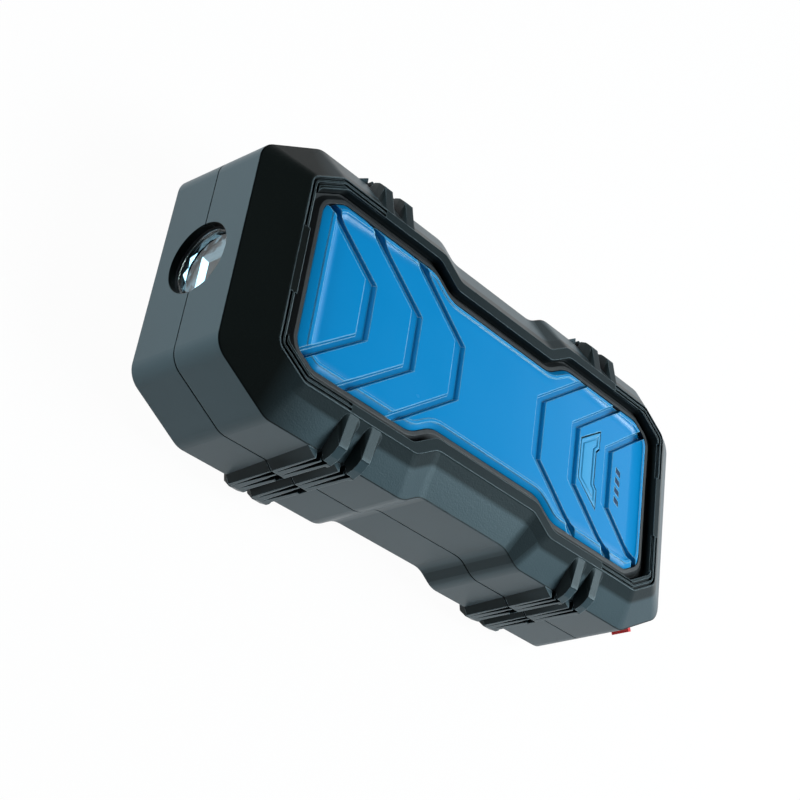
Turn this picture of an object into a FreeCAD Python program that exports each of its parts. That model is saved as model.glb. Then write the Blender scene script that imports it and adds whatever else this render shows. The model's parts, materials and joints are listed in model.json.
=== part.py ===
import FreeCAD, Part
import math
import os
from collections import namedtuple

Vector = FreeCAD.Vector

# Jump starter pack. X runs along the case from the lamp end to the socket end,
# Y across it and Z up. The case rests on its flat underside at z = 0.

# Case: overall sizes and the shape of its plan
case_length = 201.0
case_width = 89.0
case_height = 50.0
upright_wall_height = 34.0
wall_thickness = 2.4
corner_cut_length = 20.6
corner_cut_width = 11.8
waist_depth = 4.2
waist_flat_length = 38.4
waist_slope_length = 6.6
case_corner_radius = 7.0
case_waist_radius = 8.0

# Sloped flanks between the upright wall and the rim
flank_run_end = 13.3
flank_run_side = 10.4
flank_run_corner = 11.1
flank_run_waist = 11.3
rim_drop = 0.3
rim_corner_radius = 4.0
rim_waist_radius = 5.0

# Raised rim round the top, and the pocket inside it
rim_width_end = 2.9
rim_width_side = 3.1
rim_width_corner = 3.9
rim_width_waist = 3.8
pocket_depth = 5.0
rim_groove_width = 0.9
rim_groove_depth = 0.8
rim_groove_first = 0.6
rim_groove_pitch = 1.5
end_pad_half_width = 10.7
side_pad_half_length = 57.7

# Bezel ring between the rim and the top panel
ring_width_end = 4.8
ring_width_side = 3.7
ring_width_corner = 3.8
ring_width_waist = 3.3
ring_fit = 0.2
ring_top_height = 2.9
ring_foot_height = 1.5
ring_top_width = 1.4
ring_slope_width = 1.6

# Top panel
panel_side_height = 2.8
panel_rise = 1.7
panel_bevel_end = 2.9
panel_bevel_side = 1.8
panel_crown = 0.6
panel_corner_radius = 5.0
panel_waist_radius = 10.0
chevron_width = 3.7
chevron_depth = 1.2
chevron_slope = 0.785
lamp_chevron_start = 18.7
lamp_chevron_pitch = 19.65
lamp_chevron_half_width = 9.1
port_chevron_start = 60.5
port_chevron_pitch = 18.5
port_chevron_half_width = 10.2
chevrons_per_end = 3

# Grip ribs: two at each of the four shoulders, upper and lower half
rib_group_from_lamp_end = 40.1
rib_group_from_port_end = 56.9
rib_pitch = 9.0
rib_crest_width = 5.1
rib_proud = 2.3
rib_steep_run_bottom = 1.0
rib_steep_run_top = 4.0
rib_easy_run = 2.7
rib_fin_width = 3.2
rib_fin_offset = 2.6
rib_fin_flare = 1.8
rib_fin_slope = 0.24
rib_fin_length = 9.1
rib_groove_depth = 3.0
rib_ridge_width = 0.5
rib_ridge_offset = 2.2
rib_groove_reach = 1.8
rib_notch_length = 3.0
rib_groove_margin = 0.5

# How far a piece runs into the one it grows from, and a cut runs past its piece
root_overlap = 0.5
cut_past = 1.0

# Joint between the two case halves
seam_width = 0.4
seam_depth = 0.6
lip_height = 1.4
lip_gap = 0.1

# Case screws and their posts
case_screw_radius = 1.5
case_screw_length = 26.0
screw_head_radius = 2.75
screw_head_height = 2.2
screw_well_depth = 11.0
screw_well_gap = 0.25
screw_hole_gap = 0.2
post_radius = 3.6
corner_post_inset_x = 16.5
corner_post_inset_y = 11.3
side_post_inset_x = 62.5
side_post_inset_y = 6.9

# Work lamp at the lamp end
lamp_bore_radius = 11.2
lamp_recess = 3.0
lamp_lens_thickness = 2.0
lamp_lens_gap = 0.15
lamp_tube_wall = 1.6
lamp_tube_length = 15.0
lamp_flange_width = 1.8
lamp_flange_start = 4.0
lamp_flange_thickness = 1.8
lamp_board_thickness = 1.6
lamp_chip_size = 3.5
lamp_chip_height = 1.2
reflector_wall = 0.6
reflector_gap = 0.1
reflector_throat_radius = 3.2
cradle_thickness = 2.0
cradle_half_width = 17.0
cradle_gap = 0.2

# Battery: flat pouch cells in a stack
cell_count = 4
cell_side_gap = 1.5
cell_board_gap = 12.5
cell_corner_radius = 2.0
cell_from_lamp_end = 23.0
spacer_thickness = 0.8
base_pad_thickness = 1.6
top_pad_thickness = 1.8
pad_margin = 4.0
tab_length = 6.0
tab_width = 18.0
tab_thickness = 0.4
tab_offset = 18.0
link_thickness = 0.8
busbar_width = 10.0
busbar_thickness = 1.5
busbar_overlap = 5.0
busbar_step = 4.0

# Jump socket and its cover at the socket end
jump_socket_outer_y = 29.25
jump_socket_width = 24.5
jump_socket_height = 15.0
jump_socket_side_wall = 2.25
jump_socket_top_wall = 2.5
jump_mouth_depth = 13.0
jump_contact_pitch = 11.0
jump_contact_radius = 3.2
jump_contact_bore = 2.5
jump_contact_setback = 5.0
jump_contact_length = 13.0
socket_gap = 0.2
port_wall_thickness = 5.4
port_wall_half_width = 30.5
port_wall_half_height = 12.0

# Covers: a plate in a shallow seat, swinging on a thin strap
cover_seat_depth = 1.9
cover_gap = 0.3
cover_swing_gap = 0.7
cover_thickness = 2.4
cover_web_thickness = 1.2
cover_web_length = 1.6
strap_length = 4.8
strap_height = 8.0
strap_anchor_radius = 1.4
strap_anchor_head_radius = 2.0
strap_anchor_head_length = 1.5
strap_anchor_gap = 0.05
strap_gap = 0.15
jump_cover_side_lap = 1.5
jump_cover_top_lap = 1.5
cover_corner_radius = 3.0
cover_plug_depth = 1.6
cover_plug_gap = 0.6
cover_plug_wall = 1.4
pull_tab_length = 7.0
pull_tab_height = 7.0
pull_tab_thickness = 1.4
pull_tab_lift = 0.3
pull_tab_inset = 1.0
pull_tab_angle = 65.0

# USB sockets, their board and cover
usb_y = 13.0
usb_cover_width = 17.0
usb_cover_height = 20.0
usb_lip_length = 1.6
usb_lip_lift = 0.2
usb_a_width = 13.2
usb_a_height = 5.8
usb_a_above_seam = 4.6
usb_c_width = 9.2
usb_c_height = 3.6
usb_c_below_seam = 4.8
usb_length = 14.0
usb_shell_wall = 0.5
usb_back_wall = 1.0
usb_a_corner_radius = 0.6
usb_c_corner_radius = 1.7
usb_tongue_setback = 1.6
usb_a_tongue_width = 10.6
usb_a_tongue_height = 1.8
usb_c_tongue_width = 6.4
usb_c_tongue_height = 0.8
port_board_thickness = 1.6
port_board_width = 20.0
port_board_height = 22.0
port_rail_width = 14.0
port_rail_thickness = 5.0
port_rail_grip = 2.0

# Power button, its dome switch and the charge lights
button_from_panel_end = 36.5
button_length = 9.8
button_half_width = 7.3
button_tip_half_width = 13.9
button_notch = 1.6
button_notch_half_width = 6.0
button_gap = 0.35
button_travel = 0.8
button_flange = 1.3
button_flange_thickness = 0.9
button_stop_gap = 0.1
button_bottom_gap = 0.2
button_below_panel = 0.1
button_stem_set_back = 1.0
button_stem_radius = 2.2
button_stem_length = 3.4
button_guide_gap = 0.3
switch_size = 6.0
switch_height = 1.6
dome_radius = 2.6
dome_top_radius = 1.54
light_from_panel_end = 15.1
light_y = -1.4
light_count = 4
light_pitch = 3.75
light_length = 3.4
light_width = 1.1
light_slant = 1.2
light_gap = 0.1
light_below_panel = 0.15
indicator_size = 2.0
indicator_height = 0.9
indicator_gap = 0.3

# Main board and power board
main_board_from_end = 19.5
main_board_length = 41.0
main_board_width = 56.0
board_thickness = 1.6
main_board_drop = 5.0
standoff_radius = 2.6
board_hole_radius = 1.1
board_screw_radius = 1.0
board_screw_head_radius = 1.9
board_screw_head_height = 1.4
board_screw_bite = 4.0
board_screw_tip_gap = 0.3
board_hole_inset = 3.6
controller_size = 10.0
controller_height = 1.4
inductor_radius = 6.0
inductor_height = 5.5
capacitor_radius = 3.2
capacitor_height = 7.0
capacitor_count = 3
capacitor_pitch = 8.0
power_board_height = 16.0
power_board_set_back = 2.0
power_board_length = 31.0
power_board_width = 34.0
power_board_y = -17.0
transistor_length = 6.5
transistor_width = 5.0
transistor_height = 2.3
transistor_columns = 3
transistor_rows = 2
transistor_pitch_x = 8.0
transistor_pitch_y = 9.0

# Places and heights worked out from the sizes above
jump_socket_y = jump_socket_width / 2 - jump_socket_outer_y
jump_mouth_width = jump_socket_width - 2 * jump_socket_side_wall
jump_mouth_height = jump_socket_height - 2 * jump_socket_top_wall
jump_cover_width = jump_mouth_width + 2 * jump_cover_side_lap
jump_cover_height = jump_socket_height + 2 * jump_cover_top_lap
seam_z = case_height / 2
wall_top = seam_z + upright_wall_height / 2
wall_bottom = seam_z - upright_wall_height / 2
rim_z = case_height - rim_drop
deck_z = case_height - pocket_depth
ceiling_z = deck_z - wall_thickness
floor_z = wall_thickness
panel_edge_z = deck_z + panel_side_height
panel_top_z = panel_edge_z + panel_rise
ring_top_z = deck_z + ring_top_height
ring_foot_z = deck_z + ring_foot_height
end_x = case_length / 2
inner_end_x = end_x - wall_thickness
seat_x = end_x - cover_seat_depth
cell_stack_height = ceiling_z - floor_z - base_pad_thickness - top_pad_thickness
cell_thickness = (cell_stack_height - (cell_count - 1) * spacer_thickness) / cell_count
main_board_top = ceiling_z - main_board_drop
main_board_bottom = main_board_top - board_thickness

Plan = namedtuple("Plan", [
    "end", "side", "waist", "corner_y", "corner_x", "shoulder_x", "waist_x",
    "corner_r", "shoulder_r", "waist_r",
])


def limit(value, lowest):
    return max(value, lowest)


# Plans: the waisted outline with cut corners that the case, rim, ring and panel share
case_plan = Plan(
    end=end_x,
    side=case_width / 2,
    waist=case_width / 2 - waist_depth,
    corner_y=case_width / 2 - corner_cut_width,
    corner_x=end_x - corner_cut_length,
    shoulder_x=waist_flat_length / 2 + waist_slope_length,
    waist_x=waist_flat_length / 2,
    corner_r=case_corner_radius,
    shoulder_r=case_waist_radius,
    waist_r=case_waist_radius,
)


def step_in(plan, end, side, corner, waist, corner_r=None, waist_r=None):
    """The plan with its ends, sides, corner cuts and waist moved inwards by these amounts."""
    cut = (plan.side - plan.corner_y) / (plan.end - plan.corner_x)
    slope = (plan.side - plan.waist) / (plan.shoulder_x - plan.waist_x)
    new_end = plan.end - end
    new_side = plan.side - side
    new_waist = plan.waist - waist
    cut_drop = corner * math.sqrt(1 + cut * cut)
    slope_drop = waist * math.sqrt(1 + slope * slope)
    return Plan(
        end=new_end,
        side=new_side,
        waist=new_waist,
        corner_y=plan.side - cut * (new_end - plan.corner_x) - cut_drop,
        corner_x=plan.corner_x + (plan.side - cut_drop - new_side) / cut,
        shoulder_x=plan.waist_x + (new_side - plan.waist + slope_drop) / slope,
        waist_x=plan.waist_x + (slope_drop - waist) / slope,
        corner_r=corner_r or limit(plan.corner_r - corner, 0.5),
        shoulder_r=waist_r or limit(plan.shoulder_r - waist, 0.5),
        waist_r=waist_r or plan.waist_r + waist,
    )


def inset(plan, distance):
    return step_in(plan, distance, distance, distance, distance)


rim_plan = step_in(
    case_plan, flank_run_end, flank_run_side, flank_run_corner, flank_run_waist,
    rim_corner_radius, rim_waist_radius,
)
pocket_plan = step_in(
    rim_plan, rim_width_end, rim_width_side, rim_width_corner, rim_width_waist,
    rim_corner_radius, rim_waist_radius,
)
panel_plan = step_in(
    pocket_plan, ring_width_end, ring_width_side, ring_width_corner, ring_width_waist,
    panel_corner_radius, panel_waist_radius,
)
panel_top_plan = step_in(
    panel_plan, panel_bevel_end, panel_bevel_side, panel_bevel_side, panel_bevel_side,
    panel_corner_radius, panel_waist_radius,
)
inner_plan = inset(case_plan, wall_thickness)
button_x = panel_plan.end - button_from_panel_end
light_x = panel_plan.end - light_from_panel_end


def rounded_wire(points, radii, z):
    """A closed wire through the points, each corner rounded to its radius."""
    count = len(points)
    corners = [Vector(x, y, z) for x, y in points]
    rounds = []
    for i in range(count):
        here = corners[i]
        back = corners[i - 1] - here
        ahead = corners[(i + 1) % count] - here
        half = back.getAngle(ahead) / 2
        room = 0.48 * min(back.Length, ahead.Length)
        reach = min(radii[i] / math.tan(half), room)
        radius = reach * math.tan(half)
        back.normalize()
        ahead.normalize()
        middle = (back + ahead).normalize()
        nearest = here + middle * (radius / math.sin(half) - radius)
        rounds.append((here + back * reach, nearest, here + ahead * reach))
    edges = []
    for i in range(count):
        start, nearest, finish = rounds[i]
        edges.append(Part.Arc(start, nearest, finish).toShape())
        edges.append(Part.LineSegment(finish, rounds[(i + 1) % count][0]).toShape())
    return Part.Wire(edges)


def plan_wire(plan, z):
    quarter = [
        (plan.end, plan.corner_y, plan.corner_r),
        (plan.corner_x, plan.side, plan.corner_r),
        (plan.shoulder_x, plan.side, plan.shoulder_r),
        (plan.waist_x, plan.waist, plan.waist_r),
    ]
    points = []
    radii = []
    for side_x, side_y, run in ((1, 1, 1), (-1, 1, -1), (-1, -1, 1), (1, -1, -1)):
        for x, y, radius in quarter[::run]:
            points.append((side_x * x, side_y * y))
            radii.append(radius)
    return rounded_wire(points, radii, z)


def prism(plan, z_low, z_high):
    return Part.Face(plan_wire(plan, z_low)).extrude(Vector(0, 0, z_high - z_low))


def flank(plan_low, z_low, plan_high, z_high):
    return Part.makeLoft([plan_wire(plan_low, z_low), plan_wire(plan_high, z_high)], True, True)


def box(x_low, x_high, y_low, y_high, z_low, z_high):
    return Part.makeBox(x_high - x_low, y_high - y_low, z_high - z_low, Vector(x_low, y_low, z_low))


def upright(x, y, radius, z_low, z_high):
    return Part.makeCylinder(radius, z_high - z_low, Vector(x, y, z_low))


def along_x(x_low, x_high, y, z, radius):
    return Part.makeCylinder(radius, x_high - x_low, Vector(x_low, y, z), Vector(1, 0, 0))


def slab(points, z_low, z_high):
    """A solid with this outline in plan."""
    outline = Part.makePolygon([Vector(x, y, z_low) for x, y in points + points[:1]])
    return Part.Face(outline).extrude(Vector(0, 0, z_high - z_low))


def rounded_slab(points, radius, z_low, z_high):
    wire = rounded_wire(points, [radius] * len(points), z_low)
    return Part.Face(wire).extrude(Vector(0, 0, z_high - z_low))


def plate_on_end(x_low, x_high, y_low, y_high, z_low, z_high, radius):
    """An upright plate facing +X with rounded corners."""
    wire = rounded_wire(
        [(y_low, z_low), (y_high, z_low), (y_high, z_high), (y_low, z_high)], [radius] * 4, 0
    )
    solid = Part.Face(wire).extrude(Vector(0, 0, x_high - x_low))
    turn = FreeCAD.Matrix(0, 0, 1, x_low, 1, 0, 0, 0, 0, 1, 0, 0, 0, 0, 0, 1)
    solid.Placement = FreeCAD.Placement(turn)
    return solid


def join(shapes):
    first = shapes[0]
    if len(shapes) > 1:
        first = first.fuse(shapes[1:])
    return first.removeSplitter()


def mirror_y(shape):
    return shape.mirror(Vector(0, 0, 0), Vector(0, 1, 0))


def both_sides(shape):
    return [shape, mirror_y(shape)]


# Grip ribs
def rib_starts():
    """X of the lamp-side edge of each rib's crest."""
    groups = (-end_x + rib_group_from_lamp_end, end_x - rib_group_from_port_end)
    return [first + rib * rib_pitch for first in groups for rib in (0, 1)]


def steep_run(z):
    share = (z - wall_bottom) / (wall_top - wall_bottom)
    return rib_steep_run_bottom + share * (rib_steep_run_top - rib_steep_run_bottom)


def rib_on_wall(start, z_low, z_high):
    root_y = case_plan.side - wall_thickness / 2
    crest_y = case_plan.side + rib_proud
    root_drop = case_plan.side - root_y
    sections = []
    for z in (z_low, z_high):
        points = [
            Vector(start - steep_run(z) - root_drop, root_y, z),
            Vector(start, crest_y, z),
            Vector(start + rib_crest_width, crest_y, z),
            Vector(start + rib_crest_width + rib_easy_run + root_drop, root_y, z),
        ]
        sections.append(Part.makePolygon(points + points[:1]))
    return Part.makeLoft(sections, True, True)


def rib_on_flank(start):
    """The fin that carries the rib up the sloped flank, as far as the rim."""
    root_y = rim_plan.side - rim_width_side / 2
    root_low = wall_top - wall_thickness / 2
    crest_y = case_plan.side + rib_proud
    bend_y = rim_plan.side + rib_fin_length
    bend_z = rim_z - rib_fin_length * rib_fin_slope
    high = [
        (root_y, root_low),
        (root_y, rim_z),
        (rim_plan.side, rim_z),
        (bend_y, bend_z),
        (crest_y - 0.5 * rib_proud, (bend_z + wall_top) / 2),
        (crest_y, wall_top),
        (crest_y, root_low),
    ]
    sunk = 0.3
    low = [
        (root_y, root_low),
        (root_y, rim_z - sunk),
        (rim_plan.side, rim_z - sunk),
        (rim_plan.side + 0.3 * flank_run_side, rim_z - 0.3 * (rim_z - wall_top) - sunk),
        (rim_plan.side + 0.6 * flank_run_side, rim_z - 0.6 * (rim_z - wall_top) - sunk),
        (case_plan.side - sunk, wall_top),
        (case_plan.side - sunk, root_low),
    ]
    crest = start + rib_fin_offset
    stations = [
        (crest - rib_fin_flare, low),
        (crest, high),
        (crest + rib_fin_width, high),
        (crest + rib_fin_width + rib_fin_flare, low),
    ]
    pieces = []
    for near, far in zip(stations, stations[1:]):
        sections = []
        for x, profile in (near, far):
            points = [Vector(x, y, z) for y, z in profile]
            sections.append(Part.makePolygon(points + points[:1]))
        pieces.append(Part.makeLoft(sections, True, True))
    return join(pieces)


def tapered_groove(x_low, x_high, z_narrow, z_wide):
    """A wedge cut into the rib's crest, from nothing at one end to full depth at the other."""
    crest_y = case_plan.side + rib_proud
    outside = crest_y + 0.5
    middle = (x_low + x_high) / 2
    sections = []
    for z, left, right, inside in (
        (z_narrow, middle - 0.05, middle + 0.05, crest_y - 0.05),
        (z_wide, x_low, x_high, crest_y - rib_groove_depth),
    ):
        points = [
            Vector(left, outside, z),
            Vector(left, inside, z),
            Vector(right, inside, z),
            Vector(right, outside, z),
        ]
        sections.append(Part.makePolygon(points + points[:1]))
    return Part.makeLoft(sections, True, True)


def rib_grooves(start, z_narrow, z_wide):
    ridge = start + rib_ridge_offset
    left = tapered_groove(start + 0.3, ridge - rib_ridge_width / 2, z_narrow, z_wide)
    right = tapered_groove(
        ridge + rib_ridge_width / 2, ridge + rib_ridge_width / 2 + rib_groove_reach, z_narrow, z_wide
    )
    return [left, right]


def rib_notch(start):
    crest_y = case_plan.side + rib_proud
    x_low = start + rib_ridge_offset + rib_ridge_width / 2
    return box(
        x_low, start + rib_crest_width, crest_y - rib_groove_depth, crest_y + 0.5,
        seam_z - rib_notch_length, seam_z - seam_width / 2,
    )


# Case halves
def seam_cut():
    outer = prism(inset(case_plan, -rib_proud - 1), seam_z - seam_width / 2, seam_z + seam_width / 2)
    return outer.cut(prism(inset(case_plan, seam_depth), seam_z - seam_width, seam_z + seam_width))


def post_places():
    corner = (end_x - corner_post_inset_x, case_width / 2 - corner_post_inset_y)
    side = (end_x - side_post_inset_x, case_width / 2 - side_post_inset_y)
    return [
        (side_x * x, side_y * y)
        for side_x in (-1, 1)
        for side_y in (-1, 1)
        for x, y in (corner, side)
    ]


def port_wall(z_low, z_high):
    return box(
        end_x - port_wall_thickness, inner_end_x + wall_thickness / 2,
        -port_wall_half_width, port_wall_half_width, z_low, z_high,
    )


def lamp_cradle(z_low, z_high):
    """The cross wall behind the lamp tube's flange."""
    front = -inner_end_x + lamp_flange_start + lamp_flange_thickness + cradle_gap
    back = front + cradle_thickness
    wall = box(front, back, -cradle_half_width, cradle_half_width, z_low, z_high)
    return wall.cut(
        along_x(front - cut_past, back + cut_past, 0, seam_z, lamp_tube_radius() + cradle_gap)
    )


def lamp_tube_radius():
    return lamp_bore_radius + lamp_tube_wall


def end_openings():
    """What both halves leave open at the two ends: lamp bore, sockets and cover seats."""
    jump_low = jump_socket_y - jump_socket_width / 2 - socket_gap
    jump_high = jump_socket_y + jump_socket_width / 2 + socket_gap
    cuts = [
        along_x(-end_x - 1, -inner_end_x + 1, 0, seam_z, lamp_bore_radius),
        box(
            end_x - port_wall_thickness - 1, end_x + 1, jump_low, jump_high,
            seam_z - jump_socket_height / 2 - socket_gap, seam_z + jump_socket_height / 2 + socket_gap,
        ),
        usb_opening(usb_a_width, usb_a_height, seam_z + usb_a_above_seam),
        usb_opening(usb_c_width, usb_c_height, seam_z - usb_c_below_seam),
        cover_seat(jump_cover_low_y(), jump_hinge_y(), jump_cover_height),
        cover_seat(usb_cover_low_y(), usb_hinge_y(), usb_cover_height),
        strap_seat(jump_hinge_y()),
        strap_seat(usb_hinge_y()),
    ]
    return cuts


def usb_opening(width, height, z):
    return box(
        end_x - port_wall_thickness - 1, end_x + 1,
        usb_y - width / 2 - socket_gap, usb_y + width / 2 + socket_gap,
        z - height / 2 - socket_gap, z + height / 2 + socket_gap,
    )


def jump_cover_low_y():
    return jump_socket_y - jump_cover_width / 2


def jump_hinge_y():
    return jump_socket_y + jump_cover_width / 2 + cover_web_length


def usb_cover_low_y():
    return usb_y - usb_cover_width / 2


def usb_hinge_y():
    return usb_y + usb_cover_width / 2 + cover_web_length


def cover_seat(y_low, hinge_y, height):
    return plate_on_end(
        seat_x, end_x + 1, y_low - cover_gap, hinge_y - cover_web_length + cover_swing_gap,
        seam_z - height / 2 - cover_gap, seam_z + height / 2 + cover_gap, cover_corner_radius,
    )


def strap_seat(hinge_y):
    """The narrow end of the seat, with a hole for the strap's anchor."""
    half_height = strap_height / 2 + cover_gap
    channel = box(
        seat_x, end_x + cut_past,
        hinge_y - cover_web_length - cover_corner_radius, hinge_y + strap_length + cover_gap,
        seam_z - half_height, seam_z + half_height,
    )
    hole = along_x(
        end_x - port_wall_thickness - cut_past, seat_x + cut_past,
        strap_anchor_y(hinge_y), seam_z, strap_anchor_radius + strap_anchor_gap,
    )
    return channel.fuse(hole)


def strap_anchor_y(hinge_y):
    return hinge_y + strap_length / 2


def upper_casing():
    body = [
        prism(case_plan, seam_z, wall_top),
        flank(case_plan, wall_top, rim_plan, rim_z),
        flank(rim_plan, rim_z, inset(rim_plan, rim_drop), case_height),
    ]
    for start in rib_starts():
        body += both_sides(rib_on_wall(start, seam_z, wall_top))
        body += both_sides(rib_on_flank(start))
    shell = join(body)
    cuts = [
        prism(pocket_plan, deck_z, case_height + 1),
        prism(inner_plan, seam_z - 1, wall_top - wall_thickness),
        flank(
            inner_plan, wall_top - wall_thickness,
            inset(inner_plan, ceiling_z - wall_top + wall_thickness), ceiling_z,
        ),
        seam_cut(),
        rim_grooves(),
    ]
    for start in rib_starts():
        for groove in rib_grooves(start, seam_z + rib_groove_margin, wall_top + rib_groove_margin):
            cuts += both_sides(groove)
    shell = shell.cut(cuts)
    root = ceiling_z + root_overlap
    inside = [port_wall(seam_z, seam_z + port_wall_half_height), lamp_cradle(seam_z, root)]
    for x, y in post_places():
        inside.append(upright(x, y, post_radius, seam_z, root))
    for x, y in main_board_holes():
        inside.append(upright(x, y, standoff_radius, main_board_top, root))
    shell = shell.fuse(inside)
    bores = end_openings() + deck_openings() + [lip_seat()]
    for x, y in post_places():
        bores.append(upright(x, y, case_screw_radius, seam_z - cut_past, case_screw_top() + cut_past))
    bite = main_board_top + board_screw_bite
    for x, y in main_board_holes():
        bores.append(upright(x, y, board_screw_radius, main_board_top - cut_past, bite))
    return shell.cut(bores).removeSplitter()


def lip_thickness():
    return wall_thickness / 2


def lip_seat():
    """The step inside the upper half's edge that takes the lower half's lip."""
    outer_plan = inset(case_plan, wall_thickness - lip_thickness() - lip_gap)
    outer = prism(outer_plan, seam_z - cut_past, seam_z + lip_height + lip_gap)
    return outer.cut(prism(inset(inner_plan, lip_gap), seam_z - 2 * cut_past, seam_z + 2 * lip_height))


def rim_grooves():
    """Two fine grooves along the rim in the four corner zones."""
    bands = []
    groove_floor = case_height - rim_groove_depth
    for index in (0, 1):
        start = rim_groove_first + index * rim_groove_pitch
        outer = prism(inset(rim_plan, start), groove_floor, case_height + cut_past)
        inner_edge = inset(rim_plan, start + rim_groove_width)
        inner = prism(inner_edge, groove_floor - cut_past, case_height + 2 * cut_past)
        bands.append(outer.cut(inner))
    grooves = bands[0].fuse(bands[1])
    middle = box(-side_pad_half_length, side_pad_half_length, -case_width, case_width, 0, 2 * case_height)
    ends = box(-case_length, case_length, -end_pad_half_width, end_pad_half_width, 0, 2 * case_height)
    return grooves.cut([middle, ends])


def case_screw_top():
    return screw_well_depth + case_screw_length


def deck_openings():
    """Holes through the deck for the button's stem and the light guides."""
    stem = upright(
        button_stem_x(), 0, button_stem_radius + button_guide_gap, ceiling_z - 1, deck_z + 1
    )
    return [stem] + [light_bar(y, light_gap, ceiling_z - 1, deck_z + 1) for y in light_places()]


def lower_casing():
    body = [
        flank(rim_plan, 0, case_plan, wall_bottom),
        prism(case_plan, wall_bottom, seam_z),
    ]
    for start in rib_starts():
        body += both_sides(rib_on_wall(start, wall_bottom, seam_z))
        fin = rib_on_flank(start).mirror(Vector(0, 0, seam_z), Vector(0, 0, 1))
        body += both_sides(fin)
    envelope = join(body)
    narrow = inset(inner_plan, wall_bottom)
    cuts = [
        prism(inner_plan, wall_bottom + wall_thickness, seam_z + 1),
        flank(narrow, floor_z, inner_plan, wall_bottom + wall_thickness),
        seam_cut(),
    ]
    for start in rib_starts():
        cuts += both_sides(rib_notch(start))
        for groove in rib_grooves(start, wall_bottom + 2 * rib_groove_margin, seam_z - seam_width / 2):
            cuts += both_sides(groove)
    shell = envelope.cut(cuts)
    lip_plan = inset(case_plan, wall_thickness - lip_thickness())
    lip = prism(lip_plan, seam_z - lip_height, seam_z + lip_height)
    lip = lip.cut(prism(inner_plan, seam_z - 2 * lip_height, seam_z + 2 * lip_height))
    root = floor_z - root_overlap
    inside = [port_wall(seam_z - port_wall_half_height, seam_z), lamp_cradle(root, seam_z)]
    for x, y in post_places():
        inside.append(upright(x, y, post_radius, root, seam_z))
    for x, y in power_board_holes():
        inside.append(upright(x, y, standoff_radius, root, power_board_height))
    inside.append(port_rail())
    shell = shell.fuse([lip] + [piece.common(envelope) for piece in inside])
    bores = end_openings()
    for x, y in post_places():
        screw_way = case_screw_radius + screw_hole_gap
        bores.append(upright(x, y, screw_way, -cut_past, seam_z + lip_height + cut_past))
        bores.append(upright(x, y, screw_head_radius + screw_well_gap, -cut_past, screw_well_depth))
    bite = power_board_height - board_screw_bite
    for x, y in power_board_holes():
        bores.append(upright(x, y, board_screw_radius, bite, power_board_height + cut_past))
    bores.append(port_board_slot())
    return shell.cut(bores).removeSplitter()


# Bezel ring and top panel
def bezel_ring():
    foot_plan = inset(panel_plan, -ring_top_width - ring_slope_width)
    top_plan = inset(panel_plan, -ring_top_width)
    ring = join([
        prism(inset(pocket_plan, ring_fit), deck_z, ring_foot_z),
        flank(foot_plan, ring_foot_z, top_plan, ring_top_z),
    ])
    return ring.cut(prism(inset(panel_plan, -ring_fit), deck_z - 1, ring_top_z + 1))


def crown_radius():
    return (end_x * end_x + panel_crown * panel_crown) / (2 * panel_crown)


def panel_height(x):
    """Height of the crowned top face at x."""
    radius = crown_radius()
    return panel_top_z - radius + math.sqrt(radius * radius - x * x)


def chevron(tip_x, half_width, arm_way, z):
    """One groove: a straight middle and two arms that sweep back to the panel's edges."""
    reach = case_width / 2
    arm = (reach - half_width) / chevron_slope * arm_way
    lamp_side = [(tip_x + arm, -reach), (tip_x, -half_width), (tip_x, half_width), (tip_x + arm, reach)]
    port_side = [(x + chevron_width, y) for x, y in reversed(lamp_side)]
    return slab(lamp_side + port_side, z, case_height + 5)


def chevrons():
    grooves = []
    for index in range(chevrons_per_end):
        lamp_tip = -panel_plan.end + lamp_chevron_start + index * lamp_chevron_pitch
        port_tip = panel_plan.end - port_chevron_start + index * port_chevron_pitch
        for tip, half_width, arm_way in (
            (lamp_tip, lamp_chevron_half_width, -1),
            (port_tip, port_chevron_half_width, 1),
        ):
            floor = panel_height(tip) - chevron_depth
            grooves.append(chevron(tip, half_width, arm_way, floor))
    return grooves


def button_outline(grow):
    """The button's plan: a blunt arrow with two long tips, grown by this much all round."""
    front = button_x - grow
    back = button_x + button_length + grow
    lean = (button_tip_half_width - button_half_width) / button_length
    flat = button_half_width + grow * (math.sqrt(1 + lean * lean) - lean)
    tip = flat + (back - front) * lean
    hollow = back - button_notch
    half = [(front, flat), (back, tip), (back, button_notch_half_width + button_notch - grow)]
    half.append((hollow, button_notch_half_width - grow))
    return [(x, -y) for x, y in half] + [(x, y) for x, y in reversed(half)]


def button_stem_x():
    return button_x + button_length / 2 - button_stem_set_back


def button_chamber_top():
    """The key's flange, its travel and the gaps above and below it, over the deck."""
    return deck_z + button_bottom_gap + button_travel + button_flange_thickness + button_stop_gap


def top_panel():
    body = join([
        prism(panel_plan, deck_z, panel_edge_z),
        flank(panel_plan, panel_edge_z, panel_top_plan, panel_top_z),
    ])
    crown_start = Vector(0, -case_width / 2, panel_top_z - crown_radius())
    dome = Part.makeCylinder(crown_radius(), case_width, crown_start, Vector(0, 1, 0))
    body = body.common(dome)
    cuts = chevrons()
    cuts.append(slab(button_outline(button_gap), deck_z - 1, case_height + 5))
    cuts.append(slab(button_outline(button_flange + button_gap), deck_z - 1, button_chamber_top()))
    cuts += [light_bar(y, light_gap, deck_z - 1, case_height + 5) for y in light_places()]
    return body.cut(cuts)


def power_button():
    flange_high = button_chamber_top() - button_stop_gap
    flange_low = flange_high - button_flange_thickness
    body = join([
        slab(button_outline(0), flange_high, panel_height(button_x) - button_below_panel),
        slab(button_outline(button_flange), flange_low, flange_high),
        upright(button_stem_x(), 0, button_stem_radius, button_stem_bottom(), flange_low),
    ])
    return body


def button_stem_bottom():
    return button_chamber_top() - button_stop_gap - button_flange_thickness - button_stem_length


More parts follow.
